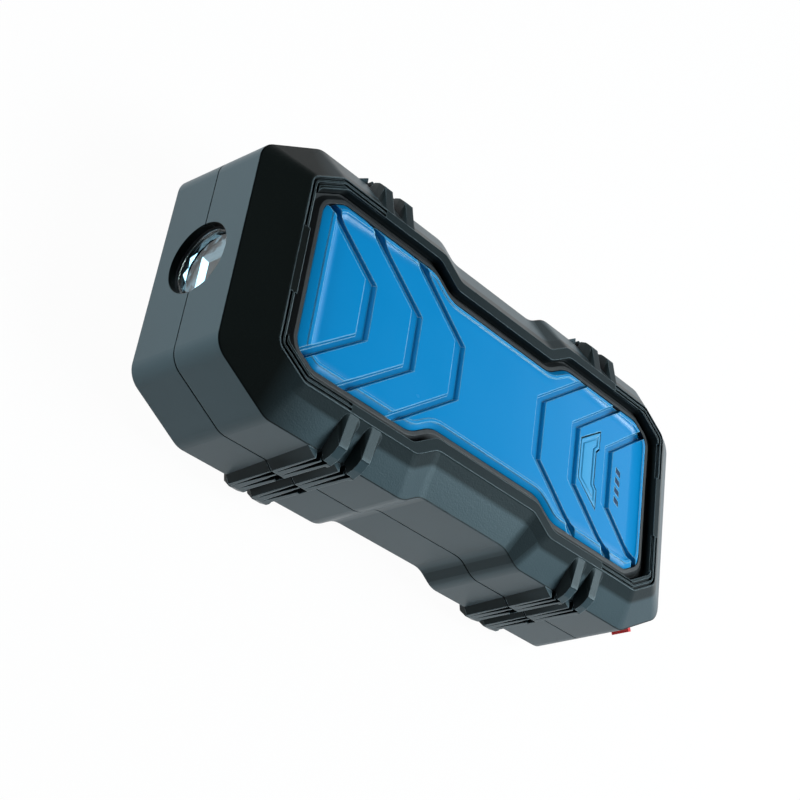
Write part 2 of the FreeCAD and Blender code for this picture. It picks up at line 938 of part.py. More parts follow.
# Charge lights
def light_places():
    first = light_y - light_pitch * (light_count - 1) / 2
    return [first + index * light_pitch for index in range(light_count)]


def light_bar(y, grow, z_low, z_high):
    """A slanted bar: its two ends are set off against each other."""
    half_x = light_length / 2 + grow
    half_y = light_width / 2 + grow
    shift = light_slant / 2
    points = [
        (light_x - half_x, y - half_y + shift),
        (light_x + half_x, y - half_y - shift),
        (light_x + half_x, y + half_y - shift),
        (light_x - half_x, y + half_y + shift),
    ]
    return slab(points, z_low, z_high)


def light_guides():
    low = main_board_top + indicator_height + indicator_gap
    high = panel_height(light_x) - light_below_panel
    return Part.makeCompound([light_bar(y, 0, low, high) for y in light_places()])


def indicator_lights():
    half = indicator_size / 2
    top = main_board_top + indicator_height
    return Part.makeCompound([
        box(light_x - half, light_x + half, y - half, y + half, main_board_top, top)
        for y in light_places()
    ])


# Boards and what is on them
def main_board_end():
    return end_x - main_board_from_end


def main_board_start():
    return main_board_end() - main_board_length


def main_board_holes():
    y = main_board_width / 2 - board_hole_inset
    return [
        (x, side * y)
        for x in (main_board_start() + board_hole_inset, main_board_end() - board_hole_inset)
        for side in (-1, 1)
    ]


def main_board():
    half = main_board_width / 2
    board = box(main_board_start(), main_board_end(), -half, half, main_board_bottom, main_board_top)
    return board.cut([upright(x, y, board_hole_radius, 0, case_height) for x, y in main_board_holes()])


def power_board_start():
    return main_board_start() + power_board_set_back


def power_board_holes():
    half = power_board_width / 2 - board_hole_inset
    start = power_board_start() + board_hole_inset
    finish = power_board_start() + power_board_length - board_hole_inset
    return [(x, power_board_y + side * half) for x in (start, finish) for side in (-1, 1)]


def power_board():
    start = power_board_start()
    half = power_board_width / 2
    board = box(
        start, start + power_board_length, power_board_y - half, power_board_y + half,
        power_board_height, power_board_height + board_thickness,
    )
    return board.cut([upright(x, y, board_hole_radius, 0, case_height) for x, y in power_board_holes()])


def power_transistors():
    base = power_board_height + board_thickness
    middle_x = power_board_start() + power_board_length / 2
    blocks = []
    for column in range(transistor_columns):
        for row in range(transistor_rows):
            x = middle_x + (column - (transistor_columns - 1) / 2) * transistor_pitch_x
            y = power_board_y + (row - (transistor_rows - 1) / 2) * transistor_pitch_y
            blocks.append(box(
                x - transistor_length / 2, x + transistor_length / 2,
                y - transistor_width / 2, y + transistor_width / 2, base, base + transistor_height,
            ))
    return Part.makeCompound(blocks)


def board_screws():
    screws = []
    reach = board_screw_bite - board_screw_tip_gap
    head_low = main_board_bottom - board_screw_head_height
    for x, y in main_board_holes():
        head = upright(x, y, board_screw_head_radius, head_low, main_board_bottom)
        shank = upright(x, y, board_screw_radius, main_board_bottom, main_board_top + reach)
        screws.append(head.fuse(shank))
    top = power_board_height + board_thickness
    for x, y in power_board_holes():
        head = upright(x, y, board_screw_head_radius, top, top + board_screw_head_height)
        shank = upright(x, y, board_screw_radius, power_board_height - reach, top)
        screws.append(head.fuse(shank))
    return Part.makeCompound(screws)


def controller_chip():
    x = button_stem_x() + switch_size
    y = main_board_width / 4
    half = controller_size / 2
    return box(x - half, x + half, y - half, y + half, main_board_top, main_board_top + controller_height)


def inductor():
    x = main_board_start() + main_board_length / 2
    y = main_board_width / 4
    core = upright(x, y, inductor_radius, main_board_bottom - inductor_height, main_board_bottom)
    return core.cut(upright(x, y, inductor_radius / 3, 0, case_height))


def capacitors():
    x = main_board_end() - board_hole_inset - 2 * capacitor_radius
    low = main_board_bottom - capacitor_height
    cans = []
    for index in range(capacitor_count):
        y = main_board_width / 4 + (index - (capacitor_count - 1) / 2) * capacitor_pitch
        cans.append(upright(x, y, capacitor_radius, low, main_board_bottom))
    return Part.makeCompound(cans)


def button_switch():
    half = switch_size / 2
    x = button_stem_x()
    return box(x - half, x + half, -half, half, main_board_top, main_board_top + switch_height)


def button_dome():
    """The rubber dome that the stem presses and that pushes the button back."""
    low = main_board_top + switch_height
    height = button_stem_bottom() - low
    return Part.makeCone(dome_radius, dome_top_radius, height, Vector(button_stem_x(), 0, low))


# Work lamp
def lens_front():
    return -end_x + lamp_recess


def lamp_lens():
    front = lens_front()
    return along_x(front, front + lamp_lens_thickness, 0, seam_z, lamp_bore_radius - lamp_lens_gap)


def lamp_back():
    return -inner_end_x + lamp_tube_length


def lamp_tube():
    start = -inner_end_x
    flange_start = start + lamp_flange_start
    flange_finish = flange_start + lamp_flange_thickness
    body = join([
        along_x(start, lamp_back(), 0, seam_z, lamp_tube_radius()),
        along_x(flange_start, flange_finish, 0, seam_z, lamp_tube_radius() + lamp_flange_width),
    ])
    return body.cut(along_x(start - 1, lamp_back() + 1, 0, seam_z, lamp_bore_radius))


def lamp_reflector():
    front = lens_front() + lamp_lens_thickness + reflector_gap
    length = lamp_back() - lamp_board_thickness - lamp_chip_height - front
    wide = lamp_bore_radius - lamp_lens_gap
    throat = reflector_throat_radius
    mouth = Vector(front, 0, seam_z)
    along = Vector(1, 0, 0)
    outer = Part.makeCone(wide, throat + reflector_wall, length, mouth, along)
    inner = Part.makeCone(wide - reflector_wall, throat, length, mouth, along)
    return outer.cut(inner)


def lamp_board():
    back = lamp_back()
    return along_x(back - lamp_board_thickness, back, 0, seam_z, lamp_bore_radius - lamp_lens_gap)


def lamp_chip():
    half = lamp_chip_size / 2
    finish = lamp_back() - lamp_board_thickness
    return box(finish - lamp_chip_height, finish, -half, half, seam_z - half, seam_z + half)


# Battery
def cell_start():
    return -end_x + cell_from_lamp_end


def cell_end():
    return main_board_start() - cell_board_gap


def cell_half_width():
    """Half the cells' width: they just clear the waist where the case narrows to its floor."""
    return inner_plan.waist - wall_bottom + base_pad_thickness - cell_side_gap


def cell_floor(index):
    return floor_z + base_pad_thickness + index * (cell_thickness + spacer_thickness)


def tab_z(index):
    return cell_floor(index) + cell_thickness / 2


def battery_cell(index):
    half = cell_half_width()
    corners = [(cell_start(), -half), (cell_end(), -half), (cell_end(), half), (cell_start(), half)]
    pouch = rounded_slab(corners, cell_corner_radius, cell_floor(index), cell_floor(index) + cell_thickness)
    tabs = []
    for side in (-1, 1):
        y = side * tab_offset
        tabs.append(box(
            cell_end() - 1, cell_end() + tab_length, y - tab_width / 2, y + tab_width / 2,
            tab_z(index) - tab_thickness / 2, tab_z(index) + tab_thickness / 2,
        ))
    return join([pouch] + tabs)


def pad(z_low, z_high):
    half = cell_half_width() - pad_margin
    return box(cell_start() + pad_margin, cell_end() - pad_margin, -half, half, z_low, z_high)


def cell_spacers():
    pads = []
    for index in range(cell_count - 1):
        low = cell_floor(index) + cell_thickness
        pads.append(pad(low, low + spacer_thickness))
    return Part.makeCompound(pads)


def foam_pads():
    stack_top = cell_floor(cell_count - 1) + cell_thickness
    return Part.makeCompound([pad(floor_z, floor_z + base_pad_thickness), pad(stack_top, ceiling_z)])


def cell_links():
    """Plates that join the tabs of neighbouring cells, on alternate sides."""
    x = cell_end() + tab_length - link_thickness
    links = []
    for index in range(cell_count - 1):
        y = tab_offset * (1 if index % 2 == 0 else -1)
        links.append(box(
            x, x + link_thickness, y - tab_width / 2, y + tab_width / 2,
            tab_z(index) + tab_thickness / 2, tab_z(index + 1) - tab_thickness / 2,
        ))
    return Part.makeCompound(links)


def contact_back():
    return seat_x - jump_contact_setback - jump_contact_length


def contact_y(side):
    return jump_socket_y + side * jump_contact_pitch / 2


def negative_busbar():
    """From under the lowest cell's tab, along the floor and up to the outer contact."""
    high = tab_z(0) - tab_thickness / 2
    back = contact_back()
    y = contact_y(-1)
    along = box(
        cell_end() + tab_length - busbar_overlap, back, y - busbar_width / 2, y + busbar_width / 2,
        high - busbar_thickness, high,
    )
    rise = box(
        back - busbar_thickness, back, y - busbar_width / 2, y + busbar_width / 2,
        high - busbar_thickness, seam_z + jump_contact_radius,
    )
    return join([along, rise])


def positive_busbar():
    """From the top cell's tab, down a step and across to the inner contact."""
    low = tab_z(cell_count - 1) + tab_thickness / 2
    high = low + busbar_thickness
    back = contact_back()
    near = contact_y(1) - busbar_width / 2
    far = contact_y(1) + busbar_width / 2
    start = cell_end() + tab_length - busbar_overlap
    bend = cell_end() + tab_length + busbar_step
    level = seam_z + jump_contact_radius
    top = box(start, bend, near, far, low, high)
    drop = box(bend - busbar_thickness, bend, near, far, level - busbar_thickness, high)
    along = box(bend - busbar_thickness, back, near, far, level - busbar_thickness, level)
    end = box(back - busbar_thickness, back, near, far, seam_z - jump_contact_radius, level)
    return join([top, drop, along, end])


# Jump socket and covers
def jump_socket():
    half_y = jump_socket_width / 2
    half_z = jump_socket_height / 2
    body = box(
        contact_back(), seat_x, jump_socket_y - half_y, jump_socket_y + half_y,
        seam_z - half_z, seam_z + half_z,
    )
    mouth = box(
        seat_x - jump_mouth_depth, seat_x + 1,
        jump_socket_y - jump_mouth_width / 2, jump_socket_y + jump_mouth_width / 2,
        seam_z - jump_mouth_height / 2, seam_z + jump_mouth_height / 2,
    )
    holes = [
        along_x(contact_back() - 1, seat_x, contact_y(side), seam_z, jump_contact_radius)
        for side in (-1, 1)
    ]
    return body.cut([mouth] + holes)


def jump_contacts():
    contacts = []
    for side in (-1, 1):
        back = contact_back()
        tube = along_x(back, back + jump_contact_length, contact_y(side), seam_z, jump_contact_radius)
        bore = along_x(back + 2, back + jump_contact_length + 1, contact_y(side), seam_z, jump_contact_bore)
        contacts.append(tube.cut(bore))
    return Part.makeCompound(contacts)


def hinge_x():
    return cover_back_x() + cover_web_thickness / 2


def cover_back_x():
    return seat_x + cover_gap / 2


def cover_plate(y_low, hinge_y, height):
    """The plate, its thin web and the rounded flex line."""
    y_high = hinge_y - cover_web_length
    back = cover_back_x()
    plate = plate_on_end(
        back, back + cover_thickness, y_low, y_high,
        seam_z - height / 2, seam_z + height / 2, cover_corner_radius,
    )
    low = seam_z - strap_height / 2
    high = seam_z + strap_height / 2
    web = box(back, back + cover_web_thickness, y_high - cover_corner_radius, hinge_y, low, high)
    roll = upright(hinge_x(), hinge_y, cover_web_thickness / 2, low, high)
    return join([plate, web, roll])


def cover_strap(hinge_y):
    """The fixed end of the strap, with the mushroom anchor behind the wall."""
    back = cover_back_x()
    y_low = hinge_y + cover_web_thickness / 2 + strap_gap
    strap = box(
        back, back + cover_web_thickness, y_low, hinge_y + strap_length,
        seam_z - strap_height / 2, seam_z + strap_height / 2,
    )
    wall_back = end_x - port_wall_thickness
    y = strap_anchor_y(hinge_y)
    stem = along_x(wall_back, back, y, seam_z, strap_anchor_radius)
    head = along_x(wall_back - strap_anchor_head_length, wall_back, y, seam_z, strap_anchor_head_radius)
    return join([strap, stem, head])


def jump_port_cover():
    cover = cover_plate(jump_cover_low_y(), jump_hinge_y(), jump_cover_height)
    back = cover_back_x()
    half_y = jump_mouth_width / 2 - cover_plug_gap
    half_z = jump_mouth_height / 2 - cover_plug_gap
    plug = box(
        back - cover_gap / 2 - cover_plug_depth, back, jump_socket_y - half_y, jump_socket_y + half_y,
        seam_z - half_z, seam_z + half_z,
    )
    hollow = box(
        back - cover_plug_depth - 1, back,
        jump_socket_y - half_y + cover_plug_wall, jump_socket_y + half_y - cover_plug_wall,
        seam_z - half_z + cover_plug_wall, seam_z + half_z - cover_plug_wall,
    )
    return join([cover, plug.cut(hollow), pull_tab()])


def pull_tab():
    """The finger tab, bent away from the case past the cover's free edge."""
    angle = math.radians(pull_tab_angle)
    along = Vector(math.cos(angle), -math.sin(angle), 0)
    across = Vector(math.sin(angle), math.cos(angle), 0) * (pull_tab_thickness / 2)
    root_x = cover_back_x() + cover_thickness - pull_tab_lift
    root = Vector(root_x, jump_cover_low_y() + pull_tab_inset, seam_z - pull_tab_height / 2)
    tip = root + along * pull_tab_length
    points = [root - across, tip - across, tip + across, root + across]
    outline = Part.makePolygon(points + points[:1])
    return Part.Face(outline).extrude(Vector(0, 0, pull_tab_height))


def usb_port_cover():
    cover = cover_plate(usb_cover_low_y(), usb_hinge_y(), usb_cover_height)
    back = cover_back_x()
    finger_lip = box(
        end_x + usb_lip_lift, back + cover_thickness,
        usb_cover_low_y() - usb_lip_length, usb_cover_low_y() + cover_corner_radius,
        seam_z - pull_tab_height / 2, seam_z + pull_tab_height / 2,
    )
    return join([cover, finger_lip])


# USB sockets
def usb_shell(width, height, z, radius):
    back = seat_x - usb_length
    half_y = width / 2
    half_z = height / 2
    shell = plate_on_end(back, seat_x, usb_y - half_y, usb_y + half_y, z - half_z, z + half_z, radius)
    half_y -= usb_shell_wall
    half_z -= usb_shell_wall
    hollow = plate_on_end(
        back + usb_back_wall, seat_x + cut_past, usb_y - half_y, usb_y + half_y,
        z - half_z, z + half_z, radius - usb_shell_wall / 2,
    )
    return shell.cut(hollow)


def usb_a_socket():
    return usb_shell(usb_a_width, usb_a_height, seam_z + usb_a_above_seam, usb_a_corner_radius)


def usb_c_socket():
    return usb_shell(usb_c_width, usb_c_height, seam_z - usb_c_below_seam, usb_c_corner_radius)


def usb_tongues():
    back = seat_x - usb_length + usb_back_wall
    front = seat_x - usb_tongue_setback
    a_floor = seam_z + usb_a_above_seam
    c_middle = seam_z - usb_c_below_seam
    a_tongue = box(
        back, front, usb_y - usb_a_tongue_width / 2, usb_y + usb_a_tongue_width / 2,
        a_floor, a_floor + usb_a_tongue_height,
    )
    c_tongue = box(
        back, front, usb_y - usb_c_tongue_width / 2, usb_y + usb_c_tongue_width / 2,
        c_middle - usb_c_tongue_height / 2, c_middle + usb_c_tongue_height / 2,
    )
    return Part.makeCompound([a_tongue, c_tongue])


def port_board_back():
    return seat_x - usb_length - port_board_thickness


def port_board_bottom():
    return seam_z - port_board_height / 2


def port_board():
    back = port_board_back()
    half = port_board_width / 2
    low = port_board_bottom()
    return box(back, back + port_board_thickness, usb_y - half, usb_y + half, low, low + port_board_height)


def port_rail():
    """The slotted block on the case floor that holds the upright port board."""
    middle = port_board_back() + port_board_thickness / 2
    return box(
        middle - port_rail_thickness / 2, middle + port_rail_thickness / 2,
        usb_y - port_rail_width / 2, usb_y + port_rail_width / 2,
        floor_z - 0.5, port_board_bottom() + port_rail_grip,
    )


def port_board_slot():
    back = port_board_back()
    half = port_board_width / 2
    return box(
        back - 0.05, back + port_board_thickness + 0.05, usb_y - half - 1, usb_y + half + 1,
        port_board_bottom(), seam_z - seam_width,
    )


# Case screws
def case_screws():
    screws = []
    for x, y in post_places():
        head = upright(x, y, screw_head_radius, screw_well_depth - screw_head_height, screw_well_depth)
        shank = upright(x, y, case_screw_radius, screw_well_depth, case_screw_top())
        screws.append(head.fuse(shank))
    return Part.makeCompound(screws)


parts = {
    "upper_casing": upper_casing(),
    "lower_casing": lower_casing(),
    "bezel_ring": bezel_ring(),
    "top_panel": top_panel(),
    "power_button": power_button(),
    "button_dome": button_dome(),
    "button_switch": button_switch(),
    "light_guides": light_guides(),
    "indicator_lights": indicator_lights(),
    "main_board": main_board(),
    "controller_chip": controller_chip(),
    "inductor": inductor(),
    "capacitors": capacitors(),
    "power_board": power_board(),
    "power_transistors": power_transistors(),
    "board_screws": board_screws(),
    "cell_spacers": cell_spacers(),
    "foam_pads": foam_pads(),
    "cell_links": cell_links(),
    "negative_busbar": negative_busbar(),
    "positive_busbar": positive_busbar(),
    "lamp_tube": lamp_tube(),
    "lamp_lens": lamp_lens(),
    "lamp_reflector": lamp_reflector(),
    "lamp_chip": lamp_chip(),
    "lamp_board": lamp_board(),
    "jump_socket": jump_socket(),
    "jump_contacts": jump_contacts(),
    "jump_port_cover": jump_port_cover(),
    "jump_cover_strap": cover_strap(jump_hinge_y()),
    "usb_a_socket": usb_a_socket(),
    "usb_c_socket": usb_c_socket(),
    "usb_tongues": usb_tongues(),
    "port_board": port_board(),
    "usb_port_cover": usb_port_cover(),
    "usb_cover_strap": cover_strap(usb_hinge_y()),
    "case_screws": case_screws(),
}
for index in range(cell_count):
    parts["battery_cell_" + str(index + 1)] = battery_cell(index)

os.makedirs("parts", exist_ok=True)
for name, shape in parts.items():
    shape.exportStep("parts/" + name + ".step")
    size = shape.BoundBox
    measures = [round(value, 1) for value in (size.XLength, size.YLength, size.ZLength)]
    print(name, len(shape.Solids), "solids", measures, shape.isValid())
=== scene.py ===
# %% [markdown]
# A jump starter pack lies flat on a pale floor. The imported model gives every
# piece its true place, so this lesson starts by loading it. After that it
# gives the pieces that the eye looks at a finer shape, and every piece a
# finish of its own.

import json
import math
from collections import namedtuple

import bmesh
import bpy
from mathutils import Matrix, Vector


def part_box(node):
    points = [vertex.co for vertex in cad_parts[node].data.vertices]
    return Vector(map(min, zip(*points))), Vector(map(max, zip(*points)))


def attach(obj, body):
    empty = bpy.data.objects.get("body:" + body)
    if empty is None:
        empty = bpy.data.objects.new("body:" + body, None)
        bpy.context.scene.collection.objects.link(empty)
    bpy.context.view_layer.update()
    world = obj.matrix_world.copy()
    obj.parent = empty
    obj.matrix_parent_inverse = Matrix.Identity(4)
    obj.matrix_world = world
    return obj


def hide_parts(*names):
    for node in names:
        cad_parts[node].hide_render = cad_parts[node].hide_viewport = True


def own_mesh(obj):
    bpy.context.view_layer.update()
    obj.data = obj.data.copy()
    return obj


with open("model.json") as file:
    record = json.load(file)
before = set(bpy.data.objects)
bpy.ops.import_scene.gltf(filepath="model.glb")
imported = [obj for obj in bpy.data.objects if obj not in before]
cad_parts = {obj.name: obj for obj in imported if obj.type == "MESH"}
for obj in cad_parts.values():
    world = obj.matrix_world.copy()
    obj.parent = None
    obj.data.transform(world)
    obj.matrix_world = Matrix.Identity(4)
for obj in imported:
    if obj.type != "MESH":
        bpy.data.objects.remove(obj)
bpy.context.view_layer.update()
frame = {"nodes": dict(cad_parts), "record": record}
nodes = frame["nodes"]
print("pieces in the frame:", len(nodes))

# %% [markdown]
# The camera stands off the lamp end's corner and looks down on the pack. It
# is rolled on its side, so the pack runs across the picture from the upper
# left to the lower right. A small shift puts the pack where the picture has
# it, and keeps the lens' own perspective.

# %% Camera
camera_place = Vector((-0.32085, -0.2400, 0.34172))
camera_heading = math.radians(49.237)
camera_tilt = math.radians(32.721)
camera_roll = math.radians(-70.88)

forward = Vector((
    math.sin(camera_heading) * math.cos(camera_tilt),
    math.cos(camera_heading) * math.cos(camera_tilt),
    -math.sin(camera_tilt),
))
level_right = forward.cross(Vector((0, 0, 1))).normalized()
level_up = level_right.cross(forward)
picture_up = level_up * math.cos(camera_roll) + level_right * math.sin(camera_roll)
picture_right = forward.cross(picture_up)

camera_data = bpy.data.cameras.new("camera")
camera_data.sensor_width = 36.0
camera_data.lens = 73.21
camera_data.shift_x = -0.2
camera_data.shift_y = -0.1515
camera = bpy.data.objects.new("camera", camera_data)
turn = Matrix((picture_right, picture_up, -forward)).transposed().to_4x4()
camera.matrix_world = Matrix.Translation(camera_place) @ turn
bpy.context.scene.collection.objects.link(camera)
bpy.context.scene.camera = camera
print("camera stands", round(camera_place.length, 3), "m from the pack's foot")

# %% [markdown]
# A material is a small network. Writing each one out by hand would fill
# pages, so three helpers make the empty network, add a node with its settings
# in one line, and link two nodes.

# %% Helpers for materials
def new_material(name):
    material = bpy.data.materials.new(name)
    material.use_nodes = True
    tree = material.node_tree
    tree.nodes.clear()
    output = tree.nodes.new("ShaderNodeOutputMaterial")
    return material, tree, output


def add(tree, kind, **settings):
    """A node of this kind. A setting is a socket's value or a property of the node."""
    node = tree.nodes.new(kind)
    for key, value in settings.items():
        socket = node.inputs.get(key.replace("_", " "))
        if socket is None:
            setattr(node, key, value)
        else:
            socket.default_value = value
    return node


def link(tree, source, target, output=0, input=0):
    tree.links.new(source.outputs[output], target.inputs[input])


# %% [markdown]
# The floor is a plain white sheet that keeps the pack's soft shadow. A sheet
# of paper under a lamp is never evenly bright, so what the camera and the
# reflections see of it is partly plain white, and the rest is honest light
# and shadow.

# %% Floor
floor_mesh = bpy.data.meshes.new("floor")
floor_mesh.from_pydata([(-5, -5, 0), (5, -5, 0), (5, 5, 0), (-5, 5, 0)], [], [(0, 1, 2, 3)])
floor = bpy.data.objects.new("floor", floor_mesh)
bpy.context.scene.collection.objects.link(floor)

white_share = 0.97
material, tree, output = new_material("floor_paper")
paper = add(tree, "ShaderNodeBsdfDiffuse", Color=(0.9, 0.9, 0.9, 1))
plain_white = add(tree, "ShaderNodeEmission", Color=(1, 1, 1, 1), Strength=1.0)
rays = add(tree, "ShaderNodeLightPath")
seen = add(tree, "ShaderNodeMath", operation="MAXIMUM")
seen_too = add(tree, "ShaderNodeMath", operation="MAXIMUM")
share = add(tree, "ShaderNodeMath", operation="MULTIPLY")
share.inputs[1].default_value = white_share
mix = add(tree, "ShaderNodeMixShader")
link(tree, rays, seen, "Is Camera Ray", 0)
link(tree, rays, seen, "Is Glossy Ray", 1)
link(tree, seen, seen_too, 0, 0)
link(tree, rays, seen_too, "Is Transmission Ray", 1)
link(tree, seen_too, share)
link(tree, share, mix)
link(tree, paper, mix, 0, 1)
link(tree, plain_white, mix, 0, 2)
link(tree, mix, output)
floor_mesh.materials.append(material)

# %% [markdown]
# The room is pale round the horizon and dim overhead, as a studio with white
# walls and a dark ceiling is. It also dims towards both of the pack's long
# sides. The upright walls of the pack mirror the pale part, and the slopes
# that face the ceiling stay dark, which is what makes the black case readable.

# %% Room
dim_side = 0.35


def set_range(node, low, high, first, last):
    """The node turns low to high into first to last."""
    names = ("From Min", "From Max", "To Min", "To Max")
    for name, value in zip(names, (low, high, first, last)):
        node.inputs[name].default_value = value


world = bpy.data.worlds.new("studio")
bpy.context.scene.world = world
world.use_nodes = True
tree = world.node_tree
sky = tree.nodes["Background"]
direction = add(tree, "ShaderNodeTexCoord")
parts = add(tree, "ShaderNodeSeparateXYZ")
ramp = add(tree, "ShaderNodeMapRange", interpolation_type="SMOOTHSTEP")
set_range(ramp, 0.12, 0.55, 0.80, 0.06)
aside = add(tree, "ShaderNodeMapRange", interpolation_type="SMOOTHSTEP")
set_range(aside, -0.7, 0.3, dim_side, 1.0)
behind = add(tree, "ShaderNodeMapRange", interpolation_type="SMOOTHSTEP")
set_range(behind, 0.6, 0.95, 1.0, dim_side)
both_sides = add(tree, "ShaderNodeMath", operation="MULTIPLY")
glow = add(tree, "ShaderNodeMath", operation="MULTIPLY")
link(tree, direction, parts, "Generated")
link(tree, parts, ramp, "Z")
link(tree, parts, aside, "Y")
link(tree, parts, behind, "Y")
link(tree, aside, both_sides)
link(tree, behind, both_sides, 0, 1)
link(tree, ramp, glow)
link(tree, both_sides, glow, 0, 1)
link(tree, glow, sky, 0, "Strength")
sky.inputs["Color"].default_value = (0.93, 0.97, 1.0, 1)
bpy.context.scene.view_settings.view_transform = "Standard"


# %% [markdown]
# One large soft lamp stands above the socket end. It lights the top and all
# that faces that end, and leaves the slope over the work lamp dark. A weak
# one low behind the socket end puts a sheen on the far part of the panel, and
# a low fill at the lamp end keeps the end wall from going black.

# %% Lamps
def soft_lamp(name, place, target, size, power, colour=(1, 1, 1)):
    data = bpy.data.lights.new(name, "AREA")
    data.shape = "RECTANGLE"
    data.size, data.size_y = size
    data.energy = power
    data.color = colour
    lamp = bpy.data.objects.new(name, data)
    lamp.location = place
    aim = Vector(target) - Vector(place)
    lamp.rotation_euler = aim.to_track_quat("-Z", "Y").to_euler()
    bpy.context.scene.collection.objects.link(lamp)
    return lamp


soft_lamp("key_lamp", (0.62, -0.08, 0.78), (0, 0, 0.02), (0.5, 0.5), 11.2, (0.84, 0.96, 1.0))
soft_lamp("far_sheen", (0.84, 0.42, 0.36), (0, 0, 0.03), (0.5, 0.5), 0.5, (0.95, 0.98, 1.0))
soft_lamp("end_fill", (-0.77, 0.29, 0.12), (-0.1, 0, 0.025), (0.5, 0.2), 3.9, (0.80, 0.96, 1.0))


# %% [markdown]
# Moulded plastic is never one flat colour. A fine spark-eroded grain covers
# it, and its sheen changes a little from place to place. Painted shade darkens
# its corners, and its edges are painted pale, partly for handling and partly
# as a painted highlight. One helper makes every plastic and rubber from those
# layers, so each piece names its colour, its roughness and its grain, and what
# is special about it.

# %% Moulded plastic and rubber
def paint_corner_shade(tree, colour, strength, reach=0.0016):
    """Painted shade: the colour darkens where a surface looks at another one close by."""
    opening = add(tree, "ShaderNodeAmbientOcclusion", Distance=reach, samples=6)
    shade = add(tree, "ShaderNodeMapRange")
    set_range(shade, 0.35, 0.95, 1 - strength, 1)
    link(tree, opening, shade, "AO", "Value")
    shaded = add(tree, "ShaderNodeVectorMath", operation="SCALE")
    link(tree, colour, shaded, "Result", 0)
    link(tree, shade, shaded, 0, "Scale")
    return shaded


def moulded(
    name, colour, roughness, grain=0.0005, depth=0.00003, mottling=0.10,
    edge_radius=0.00025, edge_pale=0.35, specular=0.5, corner_shade_strength=0.3, edge_white=0.06,
    reach=0.0016,
):
    material, tree, output = new_material(name)
    shader = add(tree, "ShaderNodeBsdfPrincipled")
    shader.inputs["Specular IOR Level"].default_value = specular
    link(tree, shader, output)
    place = add(tree, "ShaderNodeTexCoord")

    cloud = add(tree, "ShaderNodeTexNoise", Scale=45.0, Detail=3.0)
    link(tree, place, cloud, "Object", "Vector")
    tint = add(tree, "ShaderNodeMix", data_type="RGBA")
    tint.inputs["A"].default_value = tuple(c * (1 - mottling) for c in colour) + (1,)
    tint.inputs["B"].default_value = tuple(min(1, c * (1 + mottling)) for c in colour) + (1,)
    link(tree, cloud, tint, 0, "Factor")

    # Edges are painted pale towards a lighter copy of the colour: partly handling, partly a painted
    # highlight.
    rounded = add(tree, "ShaderNodeBevel", Radius=edge_radius, samples=4)
    true_face = add(tree, "ShaderNodeNewGeometry")
    agree = add(tree, "ShaderNodeVectorMath", operation="DOT_PRODUCT")
    link(tree, rounded, agree)
    link(tree, true_face, agree, "Normal", 1)
    edge_wear_and_highlight = add(tree, "ShaderNodeMapRange")
    set_range(edge_wear_and_highlight, 0.98, 0.80, 0, edge_pale)
    link(tree, agree, edge_wear_and_highlight, "Value", "Value")
    # Painted shade darkens the colour in corners and hollows.
    shaded = paint_corner_shade(tree, tint, corner_shade_strength, reach)
    worn_and_highlit = add(tree, "ShaderNodeMix", data_type="RGBA")
    worn_and_highlit.inputs["B"].default_value = tuple(min(1, c * 1.6 + edge_white) for c in colour) + (1,)
    link(tree, shaded, worn_and_highlit, 0, "A")
    link(tree, edge_wear_and_highlight, worn_and_highlit, 0, "Factor")
    link(tree, worn_and_highlit, shader, "Result", "Base Color")

    sheen = add(tree, "ShaderNodeMapRange")
    set_range(sheen, 0, 1, roughness - 0.05, roughness + 0.06)
    link(tree, cloud, sheen, 0, "Value")
    link(tree, sheen, shader, 0, "Roughness")

    skin = add(tree, "ShaderNodeTexNoise", Scale=1.0 / grain, Detail=2.0)
    link(tree, place, skin, "Object", "Vector")
    bump = add(tree, "ShaderNodeBump", Strength=1.0, Distance=depth)
    link(tree, skin, bump, 0, "Height")
    link(tree, rounded, bump, 0, "Normal")
    link(tree, bump, shader, 0, "Normal")
    return material


def metal(name, colour, roughness, streak=(1, 1, 1), scale=600.0, depth=0.000004):
    """Bare metal with rolling or drawing marks along one axis."""
    material, tree, output = new_material(name)
    shader = add(tree, "ShaderNodeBsdfPrincipled", Metallic=1.0)
    link(tree, shader, output)
    place = add(tree, "ShaderNodeTexCoord")
    stretch = add(tree, "ShaderNodeMapping")
    stretch.inputs["Scale"].default_value = streak
    link(tree, place, stretch, "Object", "Vector")
    marks = add(tree, "ShaderNodeTexNoise", Scale=scale, Detail=4.0)
    link(tree, stretch, marks, 0, "Vector")
    tint = add(tree, "ShaderNodeMix", data_type="RGBA")
    tint.inputs["A"].default_value = tuple(c * 0.82 for c in colour) + (1,)
    tint.inputs["B"].default_value = colour + (1,)
    link(tree, marks, tint, 0, "Factor")
    link(tree, tint, shader, "Result", "Base Color")
    sheen = add(tree, "ShaderNodeMapRange")
    set_range(sheen, 0, 1, roughness * 0.7, roughness * 1.3)
    link(tree, marks, sheen, 0, "Value")
    link(tree, sheen, shader, 0, "Roughness")
    bump = add(tree, "ShaderNodeBump", Strength=1.0, Distance=depth)
    link(tree, marks, bump, 0, "Height")
    link(tree, bump, shader, 0, "Normal")
    return material


# %% [markdown]
# The case has two finishes in one moulding. It is a satin grey-black, smooth
# on the upright walls and sparkling with a coarser texture on the slopes. A
# fine dark line marks where the two meet. Round the work lamp, the slopes and
# the bore are painted nearly black as painted shade, and the top of the rim is
# dark as well. The ribs' flanks and the waist's shoulders that face the lamp's
# end get the same painted shade. The place along the case, the height over the
# floor, the way a face looks and the distance from the lamp's axis tell these
# places apart. The edges of the raised rim and the grip ribs are painted pale,
# partly for handling and partly as a painted highlight.

